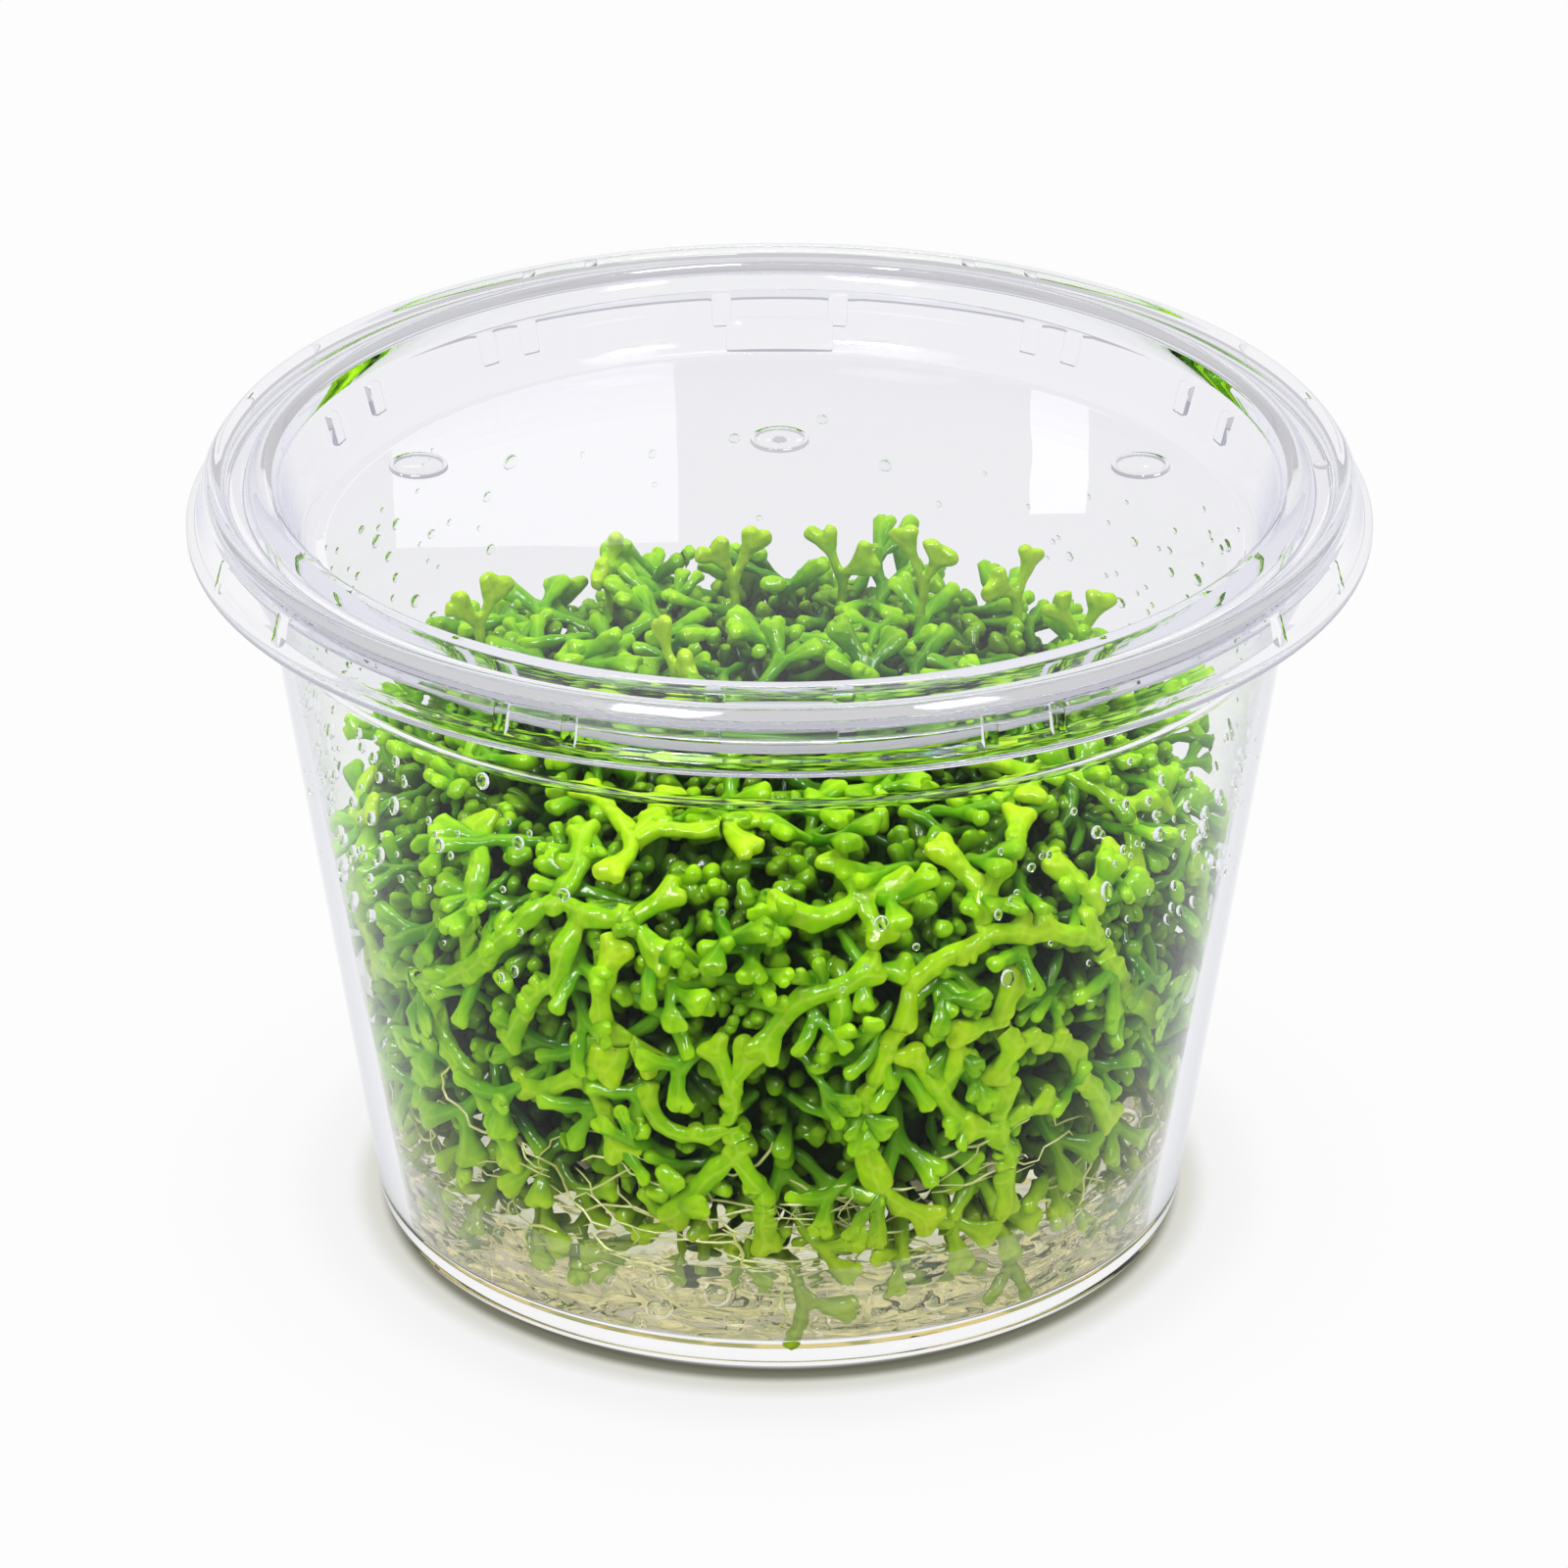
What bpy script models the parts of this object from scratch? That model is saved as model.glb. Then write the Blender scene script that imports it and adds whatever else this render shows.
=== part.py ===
"""A clear lidded culture cup with a bed of nutrient gel and a mound of crystalwort growing on it.

Units are metres and +Z is up. The origin is on the surface that the cup stands on, under its centre.
The front of the cup, where the longest strands lie against the wall, faces -Y.
"""

import math

import bmesh
import bpy
from mathutils import Matrix, Vector, noise

MM = 0.001
GAP = 0.3 * MM  # left between pieces that touch
TURN_STEPS = 48

# Driving dimensions of the cup
CUP_BASE_RADIUS = 34.7 * MM
CUP_TAPER = 0.151  # growth of the radius for each unit of height
CUP_WALL = 0.8 * MM
CUP_HEIGHT = 66.3 * MM
CUP_FLANGE_RADIUS = 47.4 * MM
FLOOR_TOP = 1.6 * MM
FLOOR_UNDER = 0.8 * MM
LEDGE_HEIGHT = 56.8 * MM
LEDGE_STEP = 0.5 * MM

# Driving dimensions of the lid
LID_TOP = 68.0 * MM
LID_WALL = 0.8 * MM
LID_RADIUS = 50.0 * MM
HEM_BOTTOM = 62.7 * MM
PANEL_TOP = 61.0 * MM
PANEL_RADIUS = 39.4 * MM
RIB_WIDTH = 1.3 * MM
# Bearings in degrees from the front, for one rib of each pair, mirrored left to right and front to back
RIB_BEARINGS = (20.0, 27.0, 56.0, 69.5)
LUG_WIDTH = 1.7 * MM
LUG_BEARINGS = (5.4, 32.5, 38.5, 58.5, 68.5)
PAD_WIDTH = 8.6 * MM
PANEL_MARKS = ((-31.0 * MM, 14.5 * MM), (0.0, 20.0 * MM), (31.0 * MM, 14.5 * MM))
MARK_RADIUS = 2.6 * MM

# Driving dimensions of the gel and of the mound on it
GEL_TOP = 9.6 * MM
MOUND_FOOT = (32.8 * MM, GEL_TOP + GAP)  # radius and height of the mound's profile, from its foot up
MOUND_SHOULDER = (35.8 * MM, 33.0 * MM)
MOUND_BROW = (25.0 * MM, 44.5 * MM)
MOUND_CROWN = 46.0 * MM
MOUND_LUMP = 2.2 * MM
STRAND_RADIUS = 0.95 * MM
STRAND_LIFT = 1.25 * MM  # from the mound's profile to a strand's middle
STRAND_STEP = 4.6 * MM  # longest stretch between two rings of a strand

# Each strand is a plant that forks: runs of (bearing in degrees from the front, climb in mm along the
# mound's profile from its foot). Runs that share a point fork there.
STRANDS = {
    "strand_left_long": (
        ((-67, 18), (-54, 21), (-44, 24), (-39, 27), (-33, 31), (-28, 31), (-21, 31), (-17, 33)),
        ((-54, 21), (-52, 17), (-47, 14), (-43, 11), (-41, 7)),
        ((-33, 31), (-32, 34), (-34, 37)),
        ((-21, 31), (-16, 29)),
        ((-44, 24), (-46, 28), (-47, 32), (-52, 34)),
        ((-28, 31), (-30, 26), (-35, 22), (-38, 19)),
    ),
    "strand_upper_left": (
        ((-41, 42), (-34, 41), (-26, 38), (-25, 35)),
        ((-26, 38), (-24, 41), (-26, 45)),
        ((-26, 38), (-19, 40), (-10, 41), (-6, 43)),
        ((-10, 41), (-6, 39)),
    ),
    "strand_left_drop": (
        ((-22, 28), (-24, 25), (-21, 22), (-23, 19)),
        ((-21, 22), (-17, 20)),
    ),
    "strand_lower_left": (
        ((-36, 14), (-32, 15), (-27, 17), (-24, 14), (-22, 11)),
        ((-27, 17), (-24, 19)),
    ),
    "strand_front_foot": (
        ((-8, 21), (-6, 18), (-6, 14), (-6, 11), (-11, 8), (-14, 5)),
        ((-6, 18), (-4, 21)),
        ((-6, 11), (-3, 8), (-2, 3)),
        ((-6, 14), (-11, 13), (-15, 13), (-18, 16)),
    ),
    "strand_big_arch": (
        ((34, 29), (28, 29), (22, 28), (18, 27), (15, 23), (13, 19), (11, 15), (12, 11), (14, 7), (20, 4)),
        ((28, 29), (30, 32), (27, 36)),
        ((30, 32), (35, 34), (42, 37)),
    ),
    "strand_right_middle": (
        ((31, 25), (29, 22), (31, 20), (30, 17)),
        ((29, 22), (24, 22)),
        ((31, 20), (36, 19), (42, 17), (46, 13), (51, 8)),
    ),
    "strand_right_long": (
        ((39, 28), (45, 26), (50, 22), (54, 19), (59, 16)),
        ((45, 26), (47, 29), (54, 31)),
        ((47, 29), (44, 32)),
    ),
    "strand_upper_right": (
        ((50, 39), (57, 41), (61, 38), (63, 34), (72, 32)),
        ((57, 41), (56, 45)),
        ((63, 34), (59, 30)),
    ),
    "strand_middle_crown": (
        ((10, 37), (12, 34), (13, 31)),
        ((1, 33), (6, 32), (12, 34)),
        ((12, 34), (17, 34)),
    ),
    "strand_middle_star": (
        ((-2, 23), (3, 26), (8, 27)),
        ((8, 27), (7, 23)),
        ((8, 27), (12, 28)),
    ),
    "strand_lower_right": (
        ((31, 14), (31, 11), (33, 8), (33, 4)),
        ((31, 11), (27, 12)),
        ((31, 11), (37, 12)),
    ),
    "strand_front_short": (
        ((18, 20), (21, 17), (25, 13)),
        ((21, 17), (24, 19)),
    ),
    "strand_far_right": (
        ((75, 25), (80, 21), (79, 15), (84, 11)),
        ((80, 21), (87, 23)),
        ((79, 15), (73, 13)),
    ),
    "strand_far_left": (
        ((-77, 29), (-83, 25), (-80, 19), (-83, 13)),
        ((-83, 25), (-90, 28)),
        ((-80, 19), (-75, 16)),
    ),
    "strand_back_right": (
        ((112, 30), (120, 26), (126, 21), (123, 15)),
        ((120, 26), (112, 22)),
        ((126, 21), (134, 19), (139, 14)),
    ),
    "strand_back_middle": (
        ((158, 32), (167, 29), (177, 28), (186, 31)),
        ((167, 29), (169, 23), (165, 17)),
        ((177, 28), (182, 22), (189, 19)),
    ),
    "strand_back_left": (
        ((214, 33), (221, 28), (230, 26), (237, 29)),
        ((221, 28), (218, 21), (223, 15)),
        ((230, 26), (236, 21)),
    ),
    "strand_back_low": (
        ((143, 20), (149, 16), (147, 10)),
        ((149, 16), (156, 13)),
    ),
}

# Upright tips that stand on top: x, y and the height of the tip in mm, and the turn of the fork in degrees
TIPS = {
    "tip_left": (-26.0, 14.0, 50.0, 20),
    "tip_left_back": (-15.0, 24.0, 49.0, 75),
    "tip_middle_left": (-4.0, 21.0, 51.5, 10),
    "tip_middle_right": (5.5, 22.0, 51.0, 150),
    "tip_tall_right": (12.5, 17.0, 53.5, 160),
    "tip_right_back": (20.5, 19.0, 50.5, 40),
    "tip_right": (26.0, 11.0, 50.5, 0),
    "tip_centre": (-9.0, 2.0, 51.0, 120),
}
TIP_RADIUS = 0.75 * MM


def clear_scene():
    for obj in list(bpy.data.objects):
        bpy.data.objects.remove(obj)


def collection(name):
    made = bpy.data.collections.new(name)
    bpy.context.scene.collection.children.link(made)
    return made


def material(name, colour, roughness, clearness=0.0, refraction=1.45):
    made = bpy.data.materials.new(name)
    made.use_nodes = True
    shader = made.node_tree.nodes["Principled BSDF"]
    shader.inputs["Base Color"].default_value = (*colour, 1.0)
    shader.inputs["Roughness"].default_value = roughness
    shader.inputs["Metallic"].default_value = 0.0
    shader.inputs["Transmission Weight"].default_value = clearness
    shader.inputs["IOR"].default_value = refraction
    return made


def link(obj, group, finish):
    group.objects.link(obj)
    if finish:
        obj.data.materials.append(finish)
    return obj


def turned(name, profile, group, finish):
    """A solid of revolution about Z. The profile, in (radius, height), ends on the axis at both ends."""
    mesh = bpy.data.meshes.new(name)
    points = [(radius, 0.0, height) for radius, height in profile]
    mesh.from_pydata(points, [(i, i + 1) for i in range(len(points) - 1)], [])
    obj = link(bpy.data.objects.new(name, mesh), group, finish)
    screw = obj.modifiers.new("turn", "SCREW")
    screw.axis = "Z"
    screw.steps = TURN_STEPS
    screw.render_steps = TURN_STEPS
    screw.use_merge_vertices = True
    screw.merge_threshold = 0.00001
    return obj


def on_compass(radius, bearing, height):
    """A point at a bearing in degrees from the front, positive towards +X."""
    angle = math.radians(bearing)
    return Vector((radius * math.sin(angle), -radius * math.cos(angle), height))


def cup_outside(height):
    """The radius of the cup's outer side at a height."""
    step = LEDGE_STEP if height > LEDGE_HEIGHT else 0.0
    return CUP_BASE_RADIUS + CUP_TAPER * height + step


def cup_inside(height):
    return cup_outside(height) - CUP_WALL


def cup_profile():
    """From the middle of the floor up the inside, over the flange and down the outside."""
    ledge_top = LEDGE_HEIGHT + 0.7 * MM
    return (
        (0.0, FLOOR_TOP),
        (cup_inside(0.0) - 1.4 * MM, FLOOR_TOP),
        (cup_inside(2.6 * MM), 2.6 * MM),
        (cup_inside(LEDGE_HEIGHT), LEDGE_HEIGHT),
        (cup_inside(ledge_top), ledge_top),
        (cup_inside(CUP_HEIGHT), CUP_HEIGHT),
        (CUP_FLANGE_RADIUS, CUP_HEIGHT),
        (CUP_FLANGE_RADIUS, CUP_HEIGHT - 1.7 * MM),
        (CUP_FLANGE_RADIUS - 0.7 * MM, CUP_HEIGHT - 1.7 * MM),
        (CUP_FLANGE_RADIUS - 0.8 * MM, CUP_HEIGHT - 0.8 * MM),
        (cup_outside(CUP_HEIGHT - 0.8 * MM), CUP_HEIGHT - 0.8 * MM),
        (cup_outside(ledge_top), ledge_top),
        (cup_outside(LEDGE_HEIGHT), LEDGE_HEIGHT),
        (cup_outside(1.0 * MM), 1.0 * MM),
        (CUP_BASE_RADIUS - 0.4 * MM, 0.0),
        (CUP_BASE_RADIUS - 2.6 * MM, 0.0),
        (CUP_BASE_RADIUS - 3.0 * MM, FLOOR_UNDER),
        (0.0, FLOOR_UNDER),
    )


def lid_profile():
    """From the middle of the panel up the recess, over the two ridges, round the hem and back under."""
    channel = LID_TOP - 0.6 * MM
    return (
        (0.0, PANEL_TOP),
        (PANEL_RADIUS, PANEL_TOP),
        (PANEL_RADIUS + 0.9 * MM, PANEL_TOP + 0.7 * MM),
        (41.9 * MM, LID_TOP - 1.1 * MM),
        (42.9 * MM, LID_TOP),
        (43.9 * MM, LID_TOP),
        (44.6 * MM, channel),
        (46.8 * MM, channel),
        (47.3 * MM, LID_TOP - 0.1 * MM),
        (47.9 * MM, LID_TOP - 0.1 * MM),
        (48.6 * MM, LID_TOP - 1.0 * MM),
        (49.1 * MM, HEM_BOTTOM + 1.5 * MM),
        (LID_RADIUS, HEM_BOTTOM + 1.2 * MM),
        (LID_RADIUS, HEM_BOTTOM),
        (LID_RADIUS - 1.1 * MM, HEM_BOTTOM),
        (LID_RADIUS - 1.7 * MM, HEM_BOTTOM + 1.5 * MM),
        (47.8 * MM, channel - LID_WALL),
        (43.9 * MM, channel - LID_WALL),
        (42.9 * MM, channel - 0.3 * MM),
        (43.4 * MM, LID_TOP - 2.7 * MM),
        (41.9 * MM, LID_TOP - 4.0 * MM),
        (PANEL_RADIUS + 1.7 * MM, PANEL_TOP + 0.3 * MM),
        (PANEL_RADIUS + 0.8 * MM, PANEL_TOP - LID_WALL),
        (0.0, PANEL_TOP - LID_WALL),
    )


def gel_profile():
    """The gel fills the foot of the cup, and creeps a little up the wall at its edge."""
    edge = cup_inside(GEL_TOP) - GAP
    return (
        (0.0, GEL_TOP),
        (edge - 0.9 * MM, GEL_TOP),
        (edge, GEL_TOP + 0.6 * MM),
        (cup_inside(2.9 * MM) - GAP, 2.9 * MM),
        (cup_inside(0.0) - GAP - 1.4 * MM, FLOOR_TOP + GAP),
        (0.0, FLOOR_TOP + GAP),
    )


def joined(obj, other):
    """Fuses another object into this one, and keeps it as a helper."""
    other.hide_render = True
    other.display_type = "WIRE"
    fuse = obj.modifiers.new(other.name, "BOOLEAN")
    fuse.operation = "UNION"
    fuse.object = other


def all_round(bearings):
    """The bearings mirrored left to right and front to back."""
    for bearing in bearings:
        for placed in (bearing, -bearing, 180 - bearing, 180 + bearing):
            yield placed


def add_block(mesh, outline, width, bearing):
    """A block across the lid's rim: an outline in (radius, height), drawn out along the rim to its width."""
    turn = Matrix.Rotation(math.radians(bearing), 3, "Z")
    corners = [mesh.verts.new(turn @ Vector((-width / 2, -radius, height))) for radius, height in outline]
    drawn = bmesh.ops.extrude_face_region(mesh, geom=[mesh.faces.new(corners)])
    far_side = [item for item in drawn["geom"] if isinstance(item, bmesh.types.BMVert)]
    bmesh.ops.translate(mesh, verts=far_side, vec=turn @ Vector((width, 0.0, 0.0)))


def helper(name, mesh, helpers):
    bmesh.ops.recalc_face_normals(mesh, faces=mesh.faces)
    data = bpy.data.meshes.new(name)
    mesh.to_mesh(data)
    mesh.free()
    return link(bpy.data.objects.new(name, data), helpers, None)


def gusset_ribs(helpers):
    """Short ribs that stiffen the lid's skirt between its shoulder and its hem."""
    mesh = bmesh.new()
    outline = (
        (48.2 * MM, LID_TOP - 1.5 * MM),
        (49.0 * MM, LID_TOP - 1.5 * MM),
        (49.7 * MM, HEM_BOTTOM + 1.5 * MM),
        (49.7 * MM, HEM_BOTTOM + 0.9 * MM),
        (49.0 * MM, HEM_BOTTOM + 0.9 * MM),
    )
    for bearing in all_round(RIB_BEARINGS):
        add_block(mesh, outline, RIB_WIDTH, bearing)
    return helper("gusset_ribs", mesh, helpers)


def recess_lugs(helpers):
    """Lugs on the wall of the lid's recess, which keep stacked lids from jamming."""
    mesh = bmesh.new()
    outline = (
        (41.2 * MM, PANEL_TOP + 2.1 * MM),
        (40.2 * MM, PANEL_TOP + 2.1 * MM),
        (40.9 * MM, PANEL_TOP + 4.8 * MM),
        (42.0 * MM, PANEL_TOP + 4.8 * MM),
    )
    for bearing in all_round(LUG_BEARINGS):
        add_block(mesh, outline, LUG_WIDTH, bearing)
    return helper("recess_lugs", mesh, helpers)


def recess_pads(helpers):
    """The low pads between the middle lugs at the front and at the back."""
    mesh = bmesh.new()
    outline = (
        (40.8 * MM, PANEL_TOP + 0.3 * MM),
        (39.7 * MM, PANEL_TOP + 0.3 * MM),
        (40.2 * MM, PANEL_TOP + 1.9 * MM),
        (41.2 * MM, PANEL_TOP + 1.9 * MM),
    )
    for bearing in (0, 180):
        add_block(mesh, outline, PAD_WIDTH, bearing)
    return helper("recess_pads", mesh, helpers)


def panel_marks(helpers):
    """Three low round bosses on the panel."""
    mesh = bmesh.new()
    for x, y in PANEL_MARKS:
        boss = bmesh.ops.create_cone(
            mesh, cap_ends=True, segments=16, radius1=MARK_RADIUS, radius2=MARK_RADIUS - 0.1 * MM, depth=0.7 * MM
        )
        bmesh.ops.translate(mesh, verts=boss["verts"], vec=(x, y, PANEL_TOP))
    return helper("panel_marks", mesh, helpers)


def mound_profile():
    """The mound's outline as (radius, height) points from its foot to its crown, a millimetre or so apart."""
    points = []
    for step in range(24):
        share = step / 24
        radius = MOUND_FOOT[0] + (MOUND_SHOULDER[0] - MOUND_FOOT[0]) * share
        height = MOUND_FOOT[1] + (MOUND_SHOULDER[1] - MOUND_FOOT[1]) * share
        points.append((radius, height))
    for step in range(18):
        angle = math.pi / 2 * step / 18
        radius = MOUND_BROW[0] + (MOUND_SHOULDER[0] - MOUND_BROW[0]) * math.cos(angle)
        height = MOUND_SHOULDER[1] + (MOUND_BROW[1] - MOUND_SHOULDER[1]) * math.sin(angle)
        points.append((radius, height))
    for step in range(26):
        share = step / 25
        height = MOUND_BROW[1] + (MOUND_CROWN - MOUND_BROW[1]) * (1 - (1 - share) ** 2)
        points.append((MOUND_BROW[0] * (1 - share), height))
    return points


PROFILE = mound_profile()


def along_profile(climb):
    """The point of the mound's outline that is this far from its foot, and the outline's outward normal there."""
    left = climb
    for (r0, h0), (r1, h1) in zip(PROFILE, PROFILE[1:]):
        length = math.hypot(r1 - r0, h1 - h0)
        if left <= length:
            break
        left -= length
    share = min(left / length, 1.0)
    normal = ((h1 - h0) / length, -(r1 - r0) / length)
    return (r0 + (r1 - r0) * share, h0 + (h1 - h0) * share), normal


def strand_point(bearing, climb, lift):
    (radius, height), (out, up) = along_profile(climb * MM)
    return on_compass(radius + out * lift, bearing, height + up * lift)


def mound(group, finish):
    """The packed mass of small plants, as one lumpy solid whose lumps stay inside the mound's outline."""
    bm = bmesh.new()
    bmesh.ops.create_icosphere(bm, subdivisions=4, radius=1.0)
    outline = sum(math.hypot(b[0] - a[0], b[1] - a[1]) for a, b in zip(PROFILE, PROFILE[1:]))
    equator = -0.45
    for vert in bm.verts:
        direction = vert.co.normalized()
        bearing = math.degrees(math.atan2(direction.x, -direction.y))
        polar = math.acos(max(-1.0, min(1.0, direction.z)))
        widest = math.acos(equator)
        if polar <= widest:
            place = strand_point(bearing, outline * (1 - polar / widest) / MM, 0.0)
            (_, _), (out, up) = along_profile(outline * (1 - polar / widest))
            lump = 0.5 + 0.5 * noise.noise(place / (5.0 * MM), noise_basis="PERLIN_ORIGINAL")
            fine = 0.5 + 0.5 * noise.noise(place / (2.6 * MM) + Vector((7, 3, 5)))
            push = -MOUND_LUMP * (0.65 * lump + 0.35 * fine)
            normal = on_compass(out, bearing, up)
            vert.co = place + normal * push
            vert.co.z = max(vert.co.z, MOUND_FOOT[1] + 0.05 * MM)
        else:
            share = (math.pi - polar) / (math.pi - widest)
            vert.co = on_compass((MOUND_FOOT[0] - MOUND_LUMP) * share, bearing, MOUND_FOOT[1])
    data = bpy.data.meshes.new("crystalwort_mound")
    bm.to_mesh(data)
    bm.free()
    return link(bpy.data.objects.new("crystalwort_mound", data), group, finish)


def skinned(name, places, edges, radii, group, finish, levels):
    """A forked strand: a line drawing given thickness by Skin and rounded by Subdivision Surface."""
    data = bpy.data.meshes.new(name)
    data.from_pydata(places, edges, [])
    obj = link(bpy.data.objects.new(name, data), group, finish)
    skin = obj.modifiers.new("skin", "SKIN")
    skin.branch_smoothing = 0.3
    skin.use_x_symmetry = False
    for index, radius in enumerate(radii):
        data.skin_vertices[0].data[index].radius = (radius, radius)
        data.skin_vertices[0].data[index].use_root = index == 0
    if levels:
        rounding = obj.modifiers.new("rounding", "SUBSURF")
        rounding.levels = levels
        rounding.render_levels = levels
    return obj


def strand(name, runs, group, finish):
    """One forked plant lying on the mound. Long stretches are divided, so that it follows the curve."""
    places, edges, radii, known = [], [], [], {}

    def point_at(bearing, climb, radius):
        key = (round(bearing, 3), round(climb, 3))
        if key not in known:
            known[key] = len(places)
            places.append(strand_point(bearing, climb, STRAND_LIFT))
            radii.append(radius)
        return known[key]

    ends = [run[0] for run in runs] + [run[-1] for run in runs]
    inner = [point for run in runs for point in run[1:-1]]
    tips = {point for point in ends if ends.count(point) == 1 and point not in inner}
    for run in runs:
        for (b0, c0), (b1, c1) in zip(run, run[1:]):
            span = (strand_point(b1, c1, STRAND_LIFT) - strand_point(b0, c0, STRAND_LIFT)).length
            pieces = max(1, math.ceil(span / STRAND_STEP))
            last = point_at(b0, c0, STRAND_RADIUS * (0.85 if (b0, c0) in tips else 1.0))
            for step in range(1, pieces + 1):
                share = step / pieces
                at_tip = step == pieces and (b1, c1) in tips
                radius = STRAND_RADIUS * (0.85 if at_tip else 1.0)
                here = point_at(b0 + (b1 - b0) * share, c0 + (c1 - c0) * share, radius)
                edges.append((last, here))
                last = here
    return skinned(name, places, edges, radii, group, finish, 0)


def tip(name, x, y, top, turn, group, finish):
    """An upright shoot that stands on the mound and forks once or twice at its head."""
    radius = math.hypot(x, y) * MM
    bearing = math.degrees(math.atan2(x, -y))
    outline = [(abs(r - radius), h) for r, h in PROFILE if h > MOUND_SHOULDER[1]]
    foot = min(outline)[1] + STRAND_LIFT
    base = on_compass(radius, bearing, foot)
    lean = Vector((math.cos(math.radians(turn)), math.sin(math.radians(turn)), 0.0))
    rise = top * MM - foot
    places = [
        base,
        base + Vector((0, 0, rise * 0.45)) + lean * (0.3 * MM),
        base + Vector((0, 0, rise * 0.62)),
        base + Vector((0, 0, rise * 0.94)) + lean * (1.5 * MM),
        base + Vector((0, 0, rise * 0.86)) - lean * (1.7 * MM),
    ]
    edges = ((0, 1), (1, 2), (2, 3), (2, 4))
    radii = [TIP_RADIUS * share for share in (0.9, 0.85, 1.0, 1.15, 1.15)]
    return skinned(name, places, edges, radii, group, finish, 0)


def build():
    clear_scene()
    parts = collection("crystalwort_culture_cup")
    helpers = collection("helpers")
    cup_plastic = material("clear cup plastic", (0.93, 0.94, 0.97), 0.05, 1.0, 1.49)
    lid_plastic = material("clear lid plastic", (0.92, 0.92, 0.97), 0.05, 1.0, 1.49)
    gel = material("nutrient gel", (0.90, 0.88, 0.70), 0.05, 1.0, 1.34)
    deep_green = material("packed crystalwort", (0.10, 0.32, 0.01), 0.35)
    bright_green = material("crystalwort strand", (0.32, 0.62, 0.02), 0.25)

    turned("cup", cup_profile(), parts, cup_plastic)
    lid = turned("lid", lid_profile(), parts, lid_plastic)
    for detail in (gusset_ribs, recess_lugs, recess_pads, panel_marks):
        joined(lid, detail(helpers))
    turned("nutrient_gel", gel_profile(), parts, gel)
    mound(parts, deep_green)
    for name, runs in STRANDS.items():
        strand(name, runs, parts, bright_green)
    for name, (x, y, top, turn) in TIPS.items():
        tip(name, x, y, top, turn, parts, bright_green)


build()
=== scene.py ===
"""The looks of a clear culture cup of crystalwort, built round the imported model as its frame.

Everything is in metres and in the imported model's frame: +Z is up, the front faces -Y, and bearings are
degrees from the front, positive towards +X.
"""

import math
import random

import bpy
import numpy as np
from mathutils import Matrix, Vector, noise


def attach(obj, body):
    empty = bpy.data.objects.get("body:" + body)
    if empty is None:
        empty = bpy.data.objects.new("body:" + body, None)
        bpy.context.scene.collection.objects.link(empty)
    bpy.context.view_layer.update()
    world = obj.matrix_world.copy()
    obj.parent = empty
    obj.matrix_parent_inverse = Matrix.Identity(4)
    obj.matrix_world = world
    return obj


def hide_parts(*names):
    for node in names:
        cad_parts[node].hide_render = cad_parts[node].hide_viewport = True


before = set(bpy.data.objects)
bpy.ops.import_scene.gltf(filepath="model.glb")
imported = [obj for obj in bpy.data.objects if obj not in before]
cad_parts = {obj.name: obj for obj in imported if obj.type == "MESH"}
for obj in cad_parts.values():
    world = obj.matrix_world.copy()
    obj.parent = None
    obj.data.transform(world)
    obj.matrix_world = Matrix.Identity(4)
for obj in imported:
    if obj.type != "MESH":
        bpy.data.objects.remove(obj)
bpy.ops.object.select_all(action="DESELECT")
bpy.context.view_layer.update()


# The cup
# A tapered cup moulded in clear polystyrene, 0.8 mm thick, with a foot ring, a small ledge that stacked
# cups rest on, and a rolled flange that the lid snaps over. Its shape is one outline turned about its axis.

MM = 0.001
TURN_STEPS = 176
CREASE = math.radians(35)  # edges sharper than this stay crisp
WELD = 0.002 * MM
CUP_BASE_RADIUS = 34.7 * MM
CUP_TAPER = 0.151
CUP_WALL = 0.8 * MM
CUP_TOP = 66.3 * MM
FLANGE_RADIUS = 47.4 * MM
LEDGE_HEIGHT = 56.8 * MM
LEDGE_STEP = 0.5 * MM
FLOOR_TOP = 1.6 * MM
FLOOR_UNDER = 0.8 * MM


def linear(colour, alpha=1.0):
    """An sRGB hex colour such as "#7FBF2A" as linear red, green, blue and alpha."""
    parts = [int(colour[i : i + 2], 16) / 255 for i in (1, 3, 5)]
    return (*[c / 12.92 if c <= 0.04045 else ((c + 0.055) / 1.055) ** 2.4 for c in parts], alpha)


def add_node(tree, kind, inputs=None, **settings):
    """Adds a node. An input is a value, the output that feeds it, or a node whose first output does."""
    node = tree.nodes.new("ShaderNode" + kind)
    for name, value in settings.items():
        setattr(node, name, value)
    for name, value in (inputs or {}).items():
        if isinstance(value, bpy.types.Node):
            value = value.outputs[0]
        if isinstance(value, bpy.types.NodeSocket):
            tree.links.new(value, node.inputs[name])
        else:
            node.inputs[name].default_value = value
    return node


def new_material(name):
    """An empty material, its node tree, and the point being coloured, in the object's own metres."""
    made = bpy.data.materials.new(name)
    made.use_nodes = True
    tree = made.node_tree
    tree.nodes.clear()
    return made, tree, add_node(tree, "TexCoord").outputs["Object"]


def finish_clear(tree, shader, tint, **inside):
    """Ends a clear material. Light that has been reflected once goes straight on through it.

    It would otherwise be caught between the faces of a thin wall and turn it black.
    """
    straight = add_node(tree, "BsdfTransparent", {"Color": linear(tint)})
    ray = add_node(tree, "LightPath")
    either = add_node(tree, "MixShader", {0: ray.outputs["Glossy Depth"], 1: shader, 2: straight})
    add_node(tree, "OutputMaterial", {"Surface": either, **inside})


def cup_outside(height):
    step = LEDGE_STEP if height > LEDGE_HEIGHT else 0.0
    return CUP_BASE_RADIUS + CUP_TAPER * height + step


def cup_inside(height):
    return cup_outside(height) - CUP_WALL


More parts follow.
